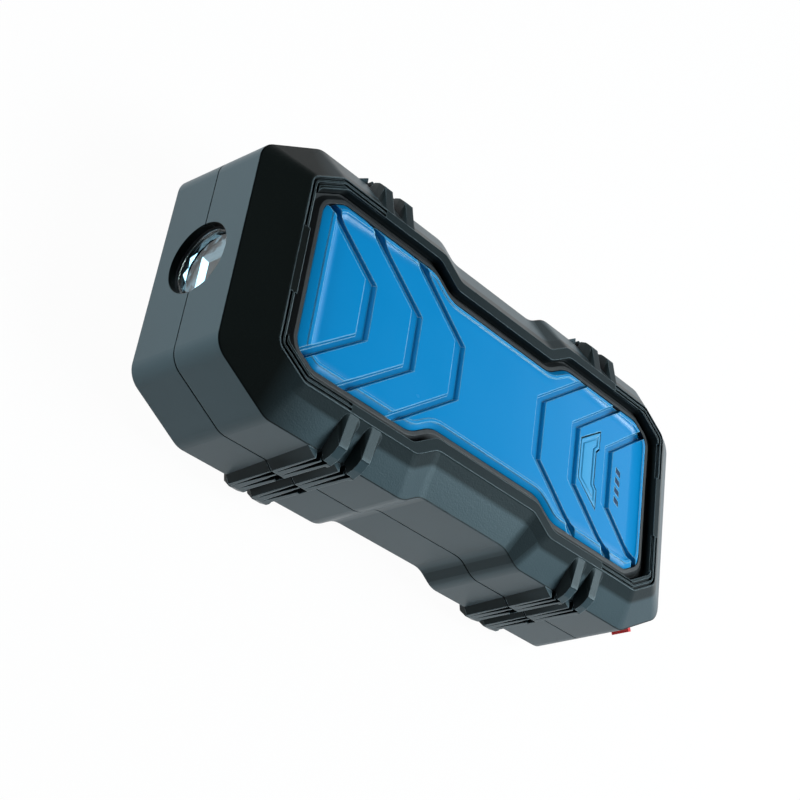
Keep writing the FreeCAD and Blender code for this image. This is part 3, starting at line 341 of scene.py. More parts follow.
# %% Case plastic
wall_low = 0.008
wall_high = 0.042
lamp_axis_z = 0.025
bore_edge = 0.0112
rim_starts = 0.0462
ribs_start = 0.0449
dark_until = -0.084
end_shade_gone_from = -0.062
rim_top_from = 0.0470
rim_top_darkness = 0.75
rib_flank_darkness = 0.9
shoulder_darkness = 0.8
flank_turn = (-0.3, -0.65)
shoulder_turn = (-0.12, -0.34)
wall_gloss = 0.42
painted_shade_gloss = 0.085
sharp_step = 0.0001
soft_step = 0.0008
line_width = 0.0002


def step_up(tree, source, low, high, output=0):
    """0 where the source is at low or before it, 1 at high or past it."""
    step = add(tree, "ShaderNodeMapRange")
    set_range(step, low, high, 0, 1)
    link(tree, source, step, output, "Value")
    return step


def math_node(tree, operation, first, second, first_output=0, second_output=0):
    """A sum on two values, each a plain number or another node."""
    node = add(tree, "ShaderNodeMath", operation=operation)
    for slot, value, output in ((0, first, first_output), (1, second, second_output)):
        if isinstance(value, (int, float)):
            node.inputs[slot].default_value = value
        else:
            link(tree, value, node, output, slot)
    return node


def case_finish(name):
    material, tree, output = new_material(name)
    shader = add(tree, "ShaderNodeBsdfPrincipled")
    shader.inputs["Specular Tint"].default_value = (0.74, 0.93, 1.0, 1)
    shader.inputs["Specular IOR Level"].default_value = wall_gloss
    link(tree, shader, output)
    place = add(tree, "ShaderNodeTexCoord")
    axes = add(tree, "ShaderNodeSeparateXYZ")
    link(tree, place, axes, "Object")
    sideways = math_node(tree, "ABSOLUTE", axes, 0, "Y")
    from_middle = math_node(tree, "SUBTRACT", axes, lamp_axis_z, "Z")
    away = math_node(tree, "ABSOLUTE", from_middle, 0)
    half_wall = (wall_high - wall_low) / 2
    beyond_wall = step_up(tree, away, half_wall - sharp_step, half_wall + sharp_step)
    across = math_node(tree, "MULTIPLY", axes, axes, "Y", "Y")
    upward = math_node(tree, "MULTIPLY", from_middle, from_middle)
    square = math_node(tree, "ADD", across, upward)
    outside_bore = step_up(tree, square, bore_edge ** 2, (bore_edge + sharp_step) ** 2)
    # The bore is painted dark: painted shade.
    in_bore = math_node(tree, "SUBTRACT", 1.0, outside_bore)
    # Towards the lamp's end the slopes are painted dark as painted shade; the rim's top is dark
    # too.
    past_end = step_up(tree, axes, dark_until, end_shade_gone_from, "X")
    at_lamp_end = math_node(tree, "SUBTRACT", 1.0, past_end)
    on_top = step_up(tree, axes, rim_top_from, rim_top_from + soft_step, "Z")
    rim_share = math_node(tree, "MULTIPLY", on_top, rim_top_darkness)
    dark_place = math_node(tree, "MAXIMUM", at_lamp_end, rim_share)
    dark_slope = math_node(tree, "MULTIPLY", beyond_wall, dark_place)
    # Faces turned towards the lamp's end, the ribs' flanks and the waist's shoulders, get painted
    # shade.
    true_face = add(tree, "ShaderNodeNewGeometry")
    facing = add(tree, "ShaderNodeSeparateXYZ")
    link(tree, true_face, facing, "Normal")
    turned_away = step_up(tree, facing, *flank_turn, "X")
    rib_flank = math_node(tree, "MULTIPLY", turned_away, past_end)
    dark_flank = math_node(tree, "MULTIPLY", rib_flank, rib_flank_darkness)
    leaning_away = step_up(tree, facing, *shoulder_turn, "X")
    shoulder = math_node(tree, "MULTIPLY", leaning_away, beyond_wall)
    shoulder_share = math_node(tree, "MULTIPLY", shoulder, past_end)
    dark_shoulder = math_node(tree, "MULTIPLY", shoulder_share, shoulder_darkness)
    dark_sides = math_node(tree, "MAXIMUM", dark_flank, dark_shoulder)
    dark_face = math_node(tree, "MAXIMUM", dark_slope, dark_sides)
    # All these places take the dark colour below, which is painted shade.
    painted_shade_mask = math_node(tree, "MAXIMUM", dark_face, in_bore)

    cloud = add(tree, "ShaderNodeTexNoise", Scale=28.0, Detail=3.0)
    link(tree, place, cloud, "Object", "Vector")
    wall = add(tree, "ShaderNodeMix", data_type="RGBA")
    wall.inputs["A"].default_value = (0.039, 0.064, 0.077, 1)
    wall.inputs["B"].default_value = (0.046, 0.076, 0.090, 1)
    # This dark colour is the painted shade's colour.
    slope = add(tree, "ShaderNodeMix", data_type="RGBA")
    slope.inputs["A"].default_value = (0.0054, 0.0069, 0.0065, 1)
    slope.inputs["B"].default_value = (0.0080, 0.0100, 0.0092, 1)
    link(tree, cloud, wall, 0, "Factor")
    link(tree, cloud, slope, 0, "Factor")
    colour = add(tree, "ShaderNodeMix", data_type="RGBA")
    link(tree, painted_shade_mask, colour, 0, "Factor")
    link(tree, wall, colour, "Result", "A")
    link(tree, slope, colour, "Result", "B")

    rounded = add(tree, "ShaderNodeBevel", Radius=0.00035, samples=4)
    agree = add(tree, "ShaderNodeVectorMath", operation="DOT_PRODUCT")
    link(tree, rounded, agree)
    link(tree, true_face, agree, "Normal", 1)
    # Edges on the rim and the ribs are painted pale: partly handling, partly a painted highlight.
    edge_wear_and_highlight = add(tree, "ShaderNodeMapRange")
    set_range(edge_wear_and_highlight, 0.99, 0.92, 0, 0.8)
    link(tree, agree, edge_wear_and_highlight, "Value", "Value")
    on_rim = step_up(tree, axes, rim_starts, rim_starts + soft_step, "Z")
    on_rib = step_up(tree, sideways, ribs_start, ribs_start + 0.0003)
    on_rim_or_rib = math_node(tree, "MAXIMUM", on_rim, on_rib)
    rim_wear_and_highlight = math_node(tree, "MULTIPLY", edge_wear_and_highlight, on_rim_or_rib)
    worn_and_highlit = add(tree, "ShaderNodeMix", data_type="RGBA")
    worn_and_highlit.inputs["B"].default_value = (0.24, 0.31, 0.34, 1)
    link(tree, colour, worn_and_highlit, "Result", "A")
    link(tree, rim_wear_and_highlight, worn_and_highlit, 0, "Factor")
    line_starts = step_up(tree, away, half_wall, half_wall + line_width / 4)
    line_ends = step_up(tree, away, half_wall + line_width, half_wall + line_width * 1.25)
    on_line = math_node(tree, "SUBTRACT", line_starts, line_ends)
    lined = add(tree, "ShaderNodeMix", data_type="RGBA")
    lined.inputs["B"].default_value = (0.002, 0.002, 0.002, 1)
    link(tree, worn_and_highlit, lined, "Result", "A")
    link(tree, on_line, lined, 0, "Factor")
    # Painted shade darkens the colour in corners.
    shaded = paint_corner_shade(tree, lined, 0.85, 0.0026)
    link(tree, shaded, shader, 0, "Base Color")

    sheen = add(tree, "ShaderNodeMapRange")
    set_range(sheen, 0, 1, 0.40, 0.37)
    link(tree, painted_shade_mask, sheen, 0, "Value")
    link(tree, sheen, shader, 0, "Roughness")
    gloss = add(tree, "ShaderNodeMapRange")
    set_range(gloss, 0, 1, wall_gloss, painted_shade_gloss)
    link(tree, painted_shade_mask, gloss, 0, "Value")
    link(tree, gloss, shader, 0, "Specular IOR Level")

    skin = add(tree, "ShaderNodeTexNoise", Scale=1900.0, Detail=2.0)
    link(tree, place, skin, "Object", "Vector")
    depth = add(tree, "ShaderNodeMapRange")
    set_range(depth, 0, 1, 0.10, 0.9)
    link(tree, beyond_wall, depth, 0, "Value")
    bump = add(tree, "ShaderNodeBump", Distance=0.00005)
    link(tree, depth, bump, 0, "Strength")
    link(tree, skin, bump, 0, "Height")
    link(tree, rounded, bump, 0, "Normal")
    link(tree, bump, shader, 0, "Normal")
    return material


# %% [markdown]
# Clear plastic bends light, so what lies behind the lens looks larger and
# broken up at the steps. Shadow rays pass straight through it, because a
# solid lens would leave the bowl behind it dark, which real ones don't.

# %% Lens finish
def clear_finish(name):
    material, tree, output = new_material(name)
    shader = add(tree, "ShaderNodeBsdfPrincipled")
    shader.inputs["Transmission Weight"].default_value = 1.0
    shader.inputs["IOR"].default_value = 1.49
    shader.inputs["Base Color"].default_value = (0.78, 0.92, 0.97, 1)
    place = add(tree, "ShaderNodeTexCoord")
    haze = add(tree, "ShaderNodeTexNoise", Scale=400.0, Detail=3.0)
    link(tree, place, haze, "Object", "Vector")
    sheen = add(tree, "ShaderNodeMapRange")
    set_range(sheen, 0, 1, 0.01, 0.04)
    link(tree, haze, sheen, 0, "Value")
    link(tree, sheen, shader, 0, "Roughness")
    bump = add(tree, "ShaderNodeBump", Strength=0.05, Distance=0.00001)
    link(tree, haze, bump, 0, "Height")
    link(tree, bump, shader, 0, "Normal")
    through = add(tree, "ShaderNodeBsdfTransparent")
    rays = add(tree, "ShaderNodeLightPath")
    mix = add(tree, "ShaderNodeMixShader")
    link(tree, rays, mix, "Is Shadow Ray")
    link(tree, shader, mix, 0, 1)
    link(tree, through, mix, 0, 2)
    link(tree, mix, output)
    return material


# %% [markdown]
# The record says which finish each piece has. Most are mouldings or metals
# that the helpers above make, and each gets its own grain. Pieces inside the
# closed case get theirs too, because the case may be opened.

# %% Finishes
finishes = {
    "case_plastic": case_finish("case_plastic"),
    "trim_plastic": moulded("trim_plastic", (0.026, 0.029, 0.031), 0.46, 0.0006, 0.00006, 0.45),
    # The panel's edges get a strong painted highlight, its double line, and its grooves painted
    # shade.
    "panel_plastic": moulded(
        "panel_plastic", (0.001, 0.275, 0.640), 0.25, 0.0008, 0.000003, mottling=0.03,
        edge_radius=0.0005, edge_pale=1.0, specular=0.28, corner_shade_strength=0.75, edge_white=0.42, reach=0.003,
    ),
    # The key's edges get a painted highlight and its hollows painted shade.
    "button_plastic": moulded(
        "button_plastic", (0.070, 0.400, 0.740), 0.25, 0.0008, 0.000003, mottling=0.03,
        edge_radius=0.0003, edge_pale=1.0, specular=0.28, corner_shade_strength=0.6, edge_white=0.30,
    ),
    "dome_rubber": moulded("dome_rubber", (0.62, 0.62, 0.58), 0.45, 0.0004, 0.00002),
    "dark_plastic": moulded("dark_plastic", (0.016, 0.016, 0.018), 0.45, 0.0006, 0.00002),
    "light_guide": moulded("light_guide", (0.008, 0.055, 0.14), 0.18, 0.0008, 0.000004),
    "light_chip": moulded("light_chip", (0.78, 0.66, 0.22), 0.30, 0.0003, 0.00001),
    "board": moulded("board", (0.012, 0.12, 0.045), 0.30, 0.0012, 0.00003, 0.30),
    "ferrite": moulded("ferrite", (0.055, 0.055, 0.058), 0.55, 0.0002, 0.00002),
    "can_metal": metal("can_metal", (0.72, 0.72, 0.74), 0.30, (1, 1, 12)),
    "screw_steel": metal("screw_steel", (0.42, 0.42, 0.43), 0.38),
    "foam": moulded("foam", (0.05, 0.05, 0.052), 0.90, 0.0006, 0.00015, 0.30),
    "tab_metal": metal("tab_metal", (0.66, 0.65, 0.62), 0.28, (12, 1, 1)),
    "copper": metal("copper", (0.80, 0.42, 0.26), 0.32, (1, 10, 1)),
    "lens": clear_finish("lens"),
    "reflector": metal("reflector", (0.27, 0.34, 0.38), 0.12, (1, 1, 1), 200.0, 0.000002),
    "lamp_plate": moulded("lamp_plate", (0.78, 0.78, 0.76), 0.40, 0.0006, 0.00001),
    "socket_plastic": moulded("socket_plastic", (0.012, 0.045, 0.22), 0.40, 0.0006, 0.00002),
    "contact_brass": metal("contact_brass", (0.82, 0.63, 0.28), 0.25, (1, 8, 8)),
    "red_rubber": moulded("red_rubber", (0.78, 0.010, 0.010), 0.50, 0.0005, 0.00003),
    "black_rubber": moulded("black_rubber", (0.020, 0.020, 0.021), 0.58, 0.0005, 0.00003),
    "pouch_foil": metal("pouch_foil", (0.70, 0.71, 0.73), 0.42, (1, 1, 1), 180.0, 0.00006),
}

for subpart in frame["record"]["subparts"]:
    mesh = nodes[subpart["node"]].data
    mesh.materials.clear()
    mesh.materials.append(finishes[subpart["material_slot"]])
print("finishes:", len(finishes))

# %% [markdown]
# The panel follows the case's own outline: a long shape with cut corners and
# a waist. The outline is kept as a few driving sizes in millimetres, as on a
# drawing, and each inner outline is stepped in from it. The two ends step in
# by different amounts, because the panel's border is wide at the lamp end and
# narrow at the socket end.

# %% Outlines
MM = 0.001
Plan = namedtuple("Plan", [
    "end", "side", "waist", "corner_y", "corner_x", "shoulder_x", "waist_x",
    "corner_r", "shoulder_r", "waist_r",
])


def step_in(plan, end, side, corner, waist, corner_r, shoulder_r, waist_r):
    """The plan with its ends, sides, corner cuts and waist moved inwards."""
    cut = (plan.side - plan.corner_y) / (plan.end - plan.corner_x)
    slope = (plan.side - plan.waist) / (plan.shoulder_x - plan.waist_x)
    new_end = plan.end - end
    new_side = plan.side - side
    cut_drop = corner * math.sqrt(1 + cut * cut)
    slope_drop = waist * math.sqrt(1 + slope * slope)
    return Plan(
        new_end, new_side, plan.waist - waist,
        plan.side - cut * (new_end - plan.corner_x) - cut_drop,
        plan.corner_x + (plan.side - cut_drop - new_side) / cut,
        plan.waist_x + (new_side - plan.waist + slope_drop) / slope,
        plan.waist_x + (slope_drop - waist) / slope,
        corner_r, shoulder_r, waist_r,
    )


def walk_round(corners, radii, between, steps=8):
    """Points on a closed outline with rounded corners and extra points on the straights."""
    arcs = []
    count = len(corners)
    for i, here in enumerate(corners):
        back = corners[i - 1] - here
        ahead = corners[(i + 1) % count] - here
        half = back.angle(ahead) / 2
        reach = min(radii[i] / math.tan(half), 0.48 * min(back.length, ahead.length))
        radius = reach * math.tan(half)
        middle = (back.normalized() + ahead.normalized()).normalized()
        centre = here + middle * (radius / math.sin(half))
        start = here + back.normalized() * reach - centre
        finish = here + ahead.normalized() * reach - centre
        first = math.atan2(start.y, start.x)
        sweep = math.atan2(finish.y, finish.x) - first
        sweep = (sweep + math.pi) % (2 * math.pi) - math.pi
        arc = []
        for step in range(steps + 1):
            angle = first + sweep * step / steps
            arc.append(centre + Vector((math.cos(angle), math.sin(angle))) * radius)
        arcs.append(arc)
    points = []
    for i, arc in enumerate(arcs):
        points += arc
        target = arcs[(i + 1) % count][0]
        for step in range(between[i]):
            points.append(arc[-1].lerp(target, (step + 1) / (between[i] + 1)))
    return points


def plan_points(port_plan, lamp_plan):
    """The outline from the +Y corner of the socket end, anticlockwise."""
    corners = []
    radii = []
    between = []
    for side_x, side_y, order in ((1, 1, 1), (-1, 1, -1), (-1, -1, 1), (1, -1, -1)):
        plan = port_plan if side_x > 0 else lamp_plan
        quarter = [
            (plan.end, plan.corner_y, plan.corner_r), (plan.corner_x, plan.side, plan.corner_r),
            (plan.shoulder_x, plan.side, plan.shoulder_r), (plan.waist_x, plan.waist, plan.waist_r),
        ]
        for x, y, radius in quarter[::order]:
            corners.append(Vector((side_x * x, side_y * y)))
            radii.append(radius)
        between += (4, 10, 2, 8) if order > 0 else (2, 10, 4, 0)
    return walk_round(corners, radii, between)


case_plan = Plan(100.5, 44.5, 40.3, 32.7, 79.9, 25.8, 19.2, 7.0, 8.0, 8.0)
rim_plan = step_in(case_plan, 13.3, 10.4, 11.1, 11.3, 4.0, 5.0, 5.0)
pocket_plan = step_in(rim_plan, 2.9, 3.1, 3.9, 3.8, 4.0, 5.0, 5.0)
panel_plan = step_in(pocket_plan, 4.8, 3.7, 3.8, 3.3, 5.0, 10.0, 10.0)
panel_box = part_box("top_panel")
print("panel, own outline and frame, mm:", round(panel_plan.end, 2), round(panel_box[1][0] / MM, 2))


# %% [markdown]
# Most of the finer pieces are stacks: an outline that is repeated at one
# height after another, a little smaller each time, until it closes in a flat
# top. That is how a soft moulded edge looks. A ring is a list of points, and
# one helper skins the stack into a closed mesh.

# %% Stacks of rings
def skin_stack(bm, rings, ladder=False):
    """Skins rings of equal length, lowest first, and closes both ends.

    A ladder closes the top with rungs across the outline, for a curved top.
    """
    layers = [[bm.verts.new(point) for point in ring] for ring in rings]
    count = len(layers[0])
    for low, high in zip(layers, layers[1:]):
        for i in range(count):
            j = (i + 1) % count
            bm.faces.new((low[i], low[j], high[j], high[i]))
    bm.faces.new(list(reversed(layers[0])))
    top = layers[-1]
    if not ladder:
        bm.faces.new(top)
        return
    for i in range(count // 2 - 1):
        bm.faces.new((top[i], top[i + 1], top[count - 2 - i], top[count - 1 - i]))


def inset_ring(points, distance):
    """Moves every edge of an outline inwards by the same distance."""
    moved = []
    count = len(points)
    for i, here in enumerate(points):
        before = (here - points[i - 1]).normalized()
        after = (points[(i + 1) % count] - here).normalized()
        first = Vector((-before.y, before.x))
        second = Vector((-after.y, after.x))
        mean = (first + second).normalized()
        moved.append(here + mean * (distance / mean.dot(first)))
    return moved


def finish_mesh(bm, name, sharp=40):
    bmesh.ops.recalc_face_normals(bm, faces=bm.faces)
    mesh = bpy.data.meshes.new(name)
    bm.to_mesh(mesh)
    bm.free()
    for face in mesh.polygons:
        face.use_smooth = True
    mesh.set_sharp_from_angle(angle=math.radians(sharp))
    return mesh


def show(name, mesh, slot, body, replaced=()):
    """Puts a piece in the scene with its finish, its body and what it stands for."""
    piece = bpy.data.objects.new(name, mesh)
    bpy.context.scene.collection.objects.link(piece)
    mesh.materials.clear()
    mesh.materials.append(finishes[slot])
    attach(piece, body)
    if replaced:
        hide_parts(*replaced)
    print(name, "faces:", len(mesh.polygons))
    return piece


def even_normals(piece):
    """Large flat faces keep their own shading, and the small round ones blend in."""
    modifier = piece.modifiers.new("even_normals", "WEIGHTED_NORMAL")
    modifier.keep_sharp = True
    modifier.weight = 80


def carve(piece, cutter_mesh):
    """Cuts closed shapes out of a piece for good."""
    cutter = bpy.data.objects.new("cutter", cutter_mesh)
    bpy.context.scene.collection.objects.link(cutter)
    modifier = piece.modifiers.new("carve", "BOOLEAN")
    modifier.operation = "DIFFERENCE"
    modifier.solver = "EXACT"
    modifier.object = cutter
    bpy.context.view_layer.update()
    evaluated = piece.evaluated_get(bpy.context.evaluated_depsgraph_get())
    carved = bpy.data.meshes.new_from_object(evaluated)
    piece.modifiers.clear()
    material = piece.data.materials[0]
    piece.data = carved
    carved.materials.clear()
    carved.materials.append(material)
    carved.set_sharp_from_angle(angle=math.radians(38))
    bpy.data.objects.remove(cutter)


# %% [markdown]
# The blue panel isn't a plain block. Its field is arched and lies a little
# below a raised border. The border rises from the bezel to a narrow flat bead
# and runs down to the field in a soft hollow. The bead's two edges give the
# panel its fine double line, together with a painted highlight that its
# finish lays along the edges. Three outlines carry the border, the edge, the
# bead and the foot of the hollow, and the rings between them follow its
# section.

# %% Panel
deck_z = 45.0
panel_edge_z = 47.8
crest_top = 49.5
field_top = 49.1
crest_side = 2.0
crest_lamp_end = 4.0
crest_port_end = 1.5
hollow_side = 4.0
hollow_lamp_end = 3.7
hollow_port_end = 5.7
bead_height = 0.35
bead_ends = 0.15


def crest_z(x):
    return crest_top - 0.00012 * x * x


def field_z(x):
    return field_top - 0.0003 * x * x


edge_line = plan_points(panel_plan, panel_plan)
crest_line = plan_points(
    step_in(panel_plan, crest_port_end, crest_side, crest_side, crest_side, 4.0, 8.0, 12.0),
    step_in(panel_plan, crest_lamp_end, crest_side, crest_side, crest_side, 4.0, 8.0, 12.0),
)
foot_side = crest_side + hollow_side
foot_port = crest_port_end + hollow_port_end
foot_lamp = crest_lamp_end + hollow_lamp_end
foot_line = plan_points(
    step_in(panel_plan, foot_port, foot_side, foot_side, foot_side, 2.5, 5.0, 15.0),
    step_in(panel_plan, foot_lamp, foot_side, foot_side, foot_side, 2.5, 5.0, 15.0),
)

rings = []
for z in (deck_z, panel_edge_z - 0.25):
    rings.append([Vector((point.x, point.y, z)) * MM for point in edge_line])
border_rise = (
    (0.0, -0.10), (0.05, 0.0), (0.3, 0.30), (0.6, 0.60),
    (0.78, 0.76), (0.81, 0.95), (0.84, 1.0), (1.0, 1.0),
)
for share, rise in border_rise:
    ring = []
    for edge, crest in zip(edge_line, crest_line):
        point = edge.lerp(crest, share)
        height = panel_edge_z + rise * (crest_z(crest.x) - panel_edge_z)
        ring.append(Vector((point.x, point.y, height)) * MM)
    rings.append(ring)
hollow_drop = (
    (0.14, 0.0), (0.19, 0.0), (0.3, 0.3), (0.45, 0.6), (0.65, 0.85), (0.85, 0.97), (1.0, 1.0),
)
for share, drop in hollow_drop:
    ring = []
    for crest, foot in zip(crest_line, foot_line):
        point = crest.lerp(foot, share)
        height = crest_z(crest.x) - (bead_height if share > bead_ends else 0)
        height -= drop * (height - field_z(foot.x))
        ring.append(Vector((point.x, point.y, height)) * MM)
    rings.append(ring)
bm = bmesh.new()
skin_stack(bm, rings, ladder=True)
panel = show("blue_panel", finish_mesh(bm, "blue_panel"), "panel_plastic", "pack", ("top_panel",))

# %% [markdown]
# Three chevron grooves run across each half and out through the border. Each
# is cut by a long closed shape that follows the arch, so a groove keeps its
# depth all the way. Its sides slope in to a narrower floor, and at the top it
# widens into a fine chamfer along the edges of the fields.

# %% Chevron grooves
groove_depth = 1.15
groove_width = 4.4
cut_above = 4.0
arm_slope = 0.785
lamp_half_width = 9.1
port_half_width = 10.2
lamp_tips = [-59.4 + index * 19.3 for index in range(3)]
port_tips = [19.3 + index * 18.9 for index in range(3)]
chevrons = [(tip, lamp_half_width, -1) for tip in lamp_tips]
chevrons += [(tip, port_half_width, 1) for tip in port_tips]
half_section = (
    (-1.00, -1.0), (-0.80, -0.96), (-0.15, -0.30), (-0.02, -0.17), (0.14, 0.01),
)

bm = bmesh.new()
for tip, half_width, way in chevrons:
    stations = [half_width * share for share in (-1, -0.5, 0, 0.5, 1)]
    for y in (12.0, 15.0, 18.0, 21.0, 24.0, 28.8):
        stations += [y, -y]
    rings = []
    for y in sorted(stations):
        middle = tip + groove_width / 2 + way * max(0, abs(y) - half_width) / arm_slope
        section = [(-groove_width / 2 - grow, z * groove_depth) for grow, z in half_section]
        section.append((section[-1][0], cut_above))
        section += [(-across, z) for across, z in reversed(section)]
        ring = []
        for across, z in section:
            x = middle + across
            ring.append(Vector((x, y, field_z(x) + z)) * MM)
        rings.append(ring)
    skin_stack(bm, rings)
carve(panel, finish_mesh(bm, "grooves"))
print("panel faces with grooves:", len(panel.data.polygons))

# %% [markdown]
# The power button is a blunt arrow with two long tips. It shows as a thin
# dark line round a lighter key, so the panel needs a real hole with a small
# gap. Under the skin the hole widens, because the key's flange keeps it from
# falling out. The four charge lights have slanted slots beside it.

# %% Holes in the panel
button_x = 43.8
button_length = 9.8
button_half_width = 7.0
button_tip_half_width = 13.7
button_notch = 1.6
button_notch_half_width = 6.0
button_gap = 0.35
flange_grow = 1.3
flange_low_z = deck_z + 1.0
flange_high_z = deck_z + 1.9
light_x = 65.2
light_places = [-0.9 + 3.5 * (index - 1.5) for index in range(4)]
light_length = 2.4
light_width = 1.7
light_slant = 1.1
light_gap = 0.12
above_panel = 51


def button_outline(grow):
    """The button's plan from above, grown by this much all round."""
    front = button_x - grow
    back = button_x + button_length + grow
    lean = (button_tip_half_width - button_half_width) / button_length
    flat = button_half_width + grow * (math.sqrt(1 + lean * lean) - lean)
    tip = flat + (back - front) * lean
    hollow = back - button_notch
    notch = button_notch_half_width - grow
    half = [(back, tip), (front, flat)]
    low_half = [(front, -flat), (back, -tip), (back, -notch - button_notch), (hollow, -notch)]
    return [Vector(p) for p in half + low_half + [(hollow, notch), (back, notch + button_notch)]]


def light_outline(y, grow):
    half_x = light_length / 2 + grow
    half_y = light_width / 2 + grow
    shift = light_slant / 2
    return [
        Vector((light_x - half_x, y - half_y + shift)),
        Vector((light_x + half_x, y - half_y - shift)),
        Vector((light_x + half_x, y + half_y - shift)),
        Vector((light_x - half_x, y + half_y + shift)),
    ]


def at_height(points, z):
    return [Vector((point.x, point.y, z)) * MM for point in points]


bm = bmesh.new()
chamber = button_outline(flange_grow + button_gap)
skin_stack(bm, [at_height(chamber, deck_z - 1), at_height(chamber, flange_high_z + 0.1)])
carve(panel, finish_mesh(bm, "chamber"))
bm = bmesh.new()
hole = button_outline(button_gap)
skin_stack(bm, [at_height(hole, flange_high_z - 0.2), at_height(hole, above_panel)])
for y in light_places:
    slot = light_outline(y, light_gap)
    skin_stack(bm, [at_height(slot, deck_z - 1), at_height(slot, above_panel)])
carve(panel, finish_mesh(bm, "holes"))
even_normals(panel)
print("panel faces with holes:", len(panel.data.polygons))

# %% [markdown]
# The key has a raised border, a shallow sunk ring and a raised pad in its
# middle for the finger. Below the panel it keeps its flange and stem, so it
# still presses the switch when it moves. The stem stands a little nearer to
# the lamp's end than the middle of the key, over the switch.

# %% Power button
key_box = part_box("power_button")
key_low_z = key_box[0][2] / MM
key_proud = 0.05
key_z = field_z(button_x + button_length / 2) + key_proud
stem_offset = 1.0
stem_x = (key_box[0][0] + key_box[1][0]) / 2 / MM - stem_offset
stem_radius = 2.2
stem_steps = 32
key_profile = (
    (0.0, -0.5), (0.06, -0.2), (0.2, -0.04), (0.42, 0.0), (0.85, 0.0), (1.0, -0.08),
    (1.15, -0.3), (1.3, -0.36), (1.6, -0.36), (1.75, -0.28), (1.9, -0.1), (2.15, -0.02),
)

bm = bmesh.new()
outline = button_outline(0)
rings = [at_height(outline, flange_high_z - 0.05)]
rings += [at_height(inset_ring(outline, inset), key_z + z) for inset, z in key_profile]
skin_stack(bm, rings)
flange = button_outline(flange_grow)
skin_stack(bm, [at_height(flange, flange_low_z), at_height(flange, flange_high_z)])
stem = [
    Vector((stem_x + stem_radius * math.cos(a), stem_radius * math.sin(a)))
    for a in (2 * math.pi * step / stem_steps for step in range(stem_steps))
]
skin_stack(bm, [at_height(stem, key_low_z), at_height(stem, flange_low_z + 0.05)])
key = show("power_key", finish_mesh(bm, "power_key"), "button_plastic", "button", ("power_button",))
even_normals(key)

# %% [markdown]
# Under the key's stem sits a silicone dome. It is the spring that pushes the
# key back. Moulded domes have a wide foot, a thin sloping wall and a thick
# pad on top, which the stem rests on. The wall gives way as the key goes
# down. Here it is built at rest, in the box of the model's own dome.

# %% Button dome
dome_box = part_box("button_dome")
dome_x = (dome_box[0][0] + dome_box[1][0]) / 2
dome_radius = (dome_box[1][0] - dome_box[0][0]) / 2
dome_low = dome_box[0][2]
dome_height = dome_box[1][2] - dome_low
dome_steps = 32
dome_profile = (
    (1.0, 0.0), (1.0, 0.12), (0.92, 0.18), (0.66, 0.72), (0.60, 0.80), (0.56, 0.98), (0.50, 1.0),
)

bm = bmesh.new()
rings = []
for out, up in dome_profile:
    reach = dome_radius * out
    height = dome_low + dome_height * up
    ring = []
    for step in range(dome_steps):
        angle = 2 * math.pi * step / dome_steps
        ring.append(Vector((dome_x + reach * math.cos(angle), reach * math.sin(angle), height)))
    rings.append(ring)
skin_stack(bm, rings)
dome = show("rubber_dome", finish_mesh(bm, "rubber_dome"), "dome_rubber", "pack", ("button_dome",))
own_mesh(dome)

# %% [markdown]
# Behind each slot stands a bar of smoked clear plastic that leads the light
# up from the board. Unlit, it is nearly black, and only its chamfered top
# catches the lamp.

# %% Charge lights
guide_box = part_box("light_guides")
guide_low_z = guide_box[0][2] / MM
bar_sunk = 0.05
bar_chamfer_height = 0.2
bar_chamfer_width = 0.15
bar_top = field_z(light_x) - bar_sunk
bm = bmesh.new()
for y in light_places:
    bar = light_outline(y, 0)
    rings = [at_height(bar, guide_low_z), at_height(bar, bar_top - bar_chamfer_height)]
    rings.append(at_height(inset_ring(bar, bar_chamfer_width), bar_top))
    skin_stack(bm, rings)
show("light_bars", finish_mesh(bm, "light_bars", 30), "light_guide", "pack", ("light_guides",))

# %% [markdown]
# The work lamp sits in a bore at the end. Its clear lens has a narrow flat rim
# and a flat window, and behind it a smoked chrome reflector narrows to the
# lamp's chip. A lathed profile makes the lens. The reflector is faceted, as
# stamped torch reflectors are. Its outer tiers are nearly flat, and a square
# funnel sits in the middle, so every flat mirrors another part of the room
# and one of them catches the light.

# %% Work lamp
lamp_z = lamp_axis_z / MM
lens_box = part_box("lamp_lens")
lens_radius = (lens_box[1][1] - lens_box[0][1]) / 2 / MM
lens_front = lens_box[0][0] / MM
lens_back = lens_box[1][0] / MM
lens_steps = 96


def ring_in_bore(x, radius):
    """A ring round the lamp's axis."""
    angles = [2 * math.pi * step / lens_steps for step in range(lens_steps)]
    return [Vector((x, radius * math.cos(a), lamp_z - radius * math.sin(a))) * MM for a in angles]


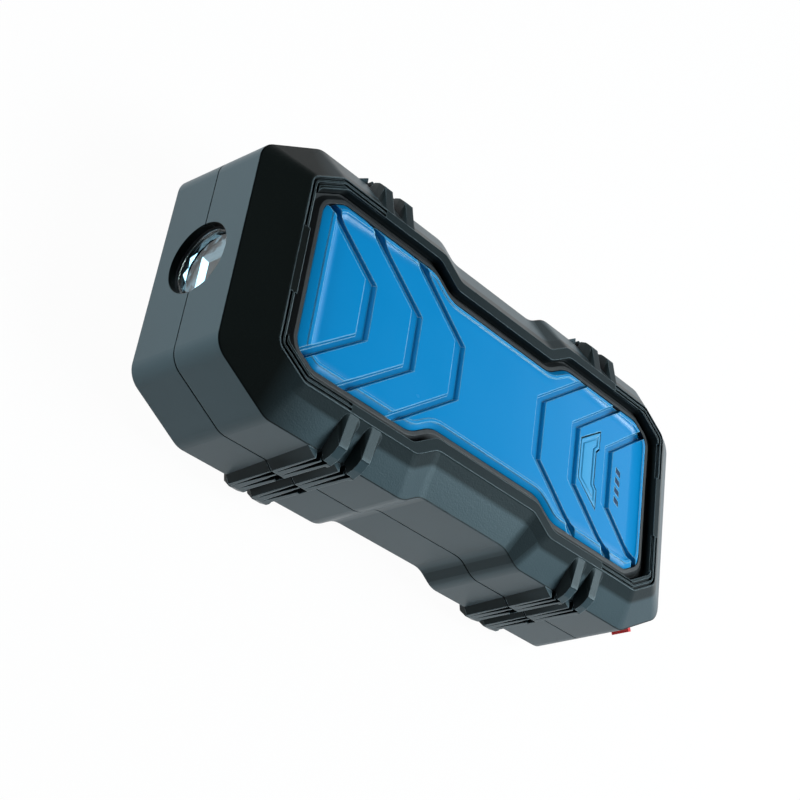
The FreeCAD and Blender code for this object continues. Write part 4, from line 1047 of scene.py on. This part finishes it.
lens_profile = [
    (lens_back, lens_radius), (lens_front + 0.2, lens_radius), (lens_front, lens_radius - 0.2),
    (lens_front, lens_radius - 0.5), (lens_front + 0.12, lens_radius - 0.7),
    (lens_front + 0.12, 0.4),
]

bm = bmesh.new()
skin_stack(bm, [ring_in_bore(x, radius) for x, radius in lens_profile])
show("clear_lens", finish_mesh(bm, "clear_lens", 30), "lens", "pack", ("lamp_lens",))

reflector_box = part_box("lamp_reflector")
mouth_x = reflector_box[0][0] / MM
throat_x = reflector_box[1][0] / MM
facets = 12
bowl_wall = 0.4
bowl_depth = throat_x - mouth_x
square_reach = 0.9
bowl_tiers = (
    (0.0, 10.6, 0.0, False), (0.6, 9.9, 0.5, False), (1.0, 8.2, 0.0, False), (1.3, 6.2, 0.5, True),
    (2.39, 3.9, 0.5, True), (bowl_depth - 0.8, 3.7, 0.5, True), (bowl_depth, 3.3, 0.5, False),
)


def bowl_ring(depth, radius, turn, square):
    """One tier of the reflector, round or square, turned by a share of a facet."""
    x = mouth_x + depth
    points = []
    for step in range(facets):
        angle = 2 * math.pi * (step + turn) / facets
        c, s = math.cos(angle), math.sin(angle)
        reach = radius * square_reach / max(abs(c), abs(s)) if square else radius
        points.append(Vector((x, reach * c, lamp_z - reach * s)) * MM)
    return points


bm = bmesh.new()
inside = [(bowl_ring(d, r - bowl_wall, turn, square), turn) for d, r, turn, square in bowl_tiers]
outside = [(bowl_ring(d, r, turn, square), turn) for d, r, turn, square in bowl_tiers]
outline = inside + outside[::-1]
loop = [([bm.verts.new(point) for point in ring], turned) for ring, turned in outline]
for (near, near_turned), (far, far_turned) in zip(loop, loop[1:] + loop[:1]):
    for i in range(facets):
        j = (i + 1) % facets
        if near_turned == far_turned:
            bm.faces.new((near[i], near[j], far[j], far[i]))
        elif far_turned:
            bm.faces.new((near[i], near[j], far[i]))
            bm.faces.new((near[j], far[j], far[i]))
        else:
            bm.faces.new((far[i], near[i], far[j]))
            bm.faces.new((near[i], near[j], far[j]))
bowl_mesh = finish_mesh(bm, "bowl_reflector", 0.5)
print("reflector depth in mm:", round(bowl_depth, 2))
show("bowl_reflector", bowl_mesh, "reflector", "pack", ("lamp_reflector",))
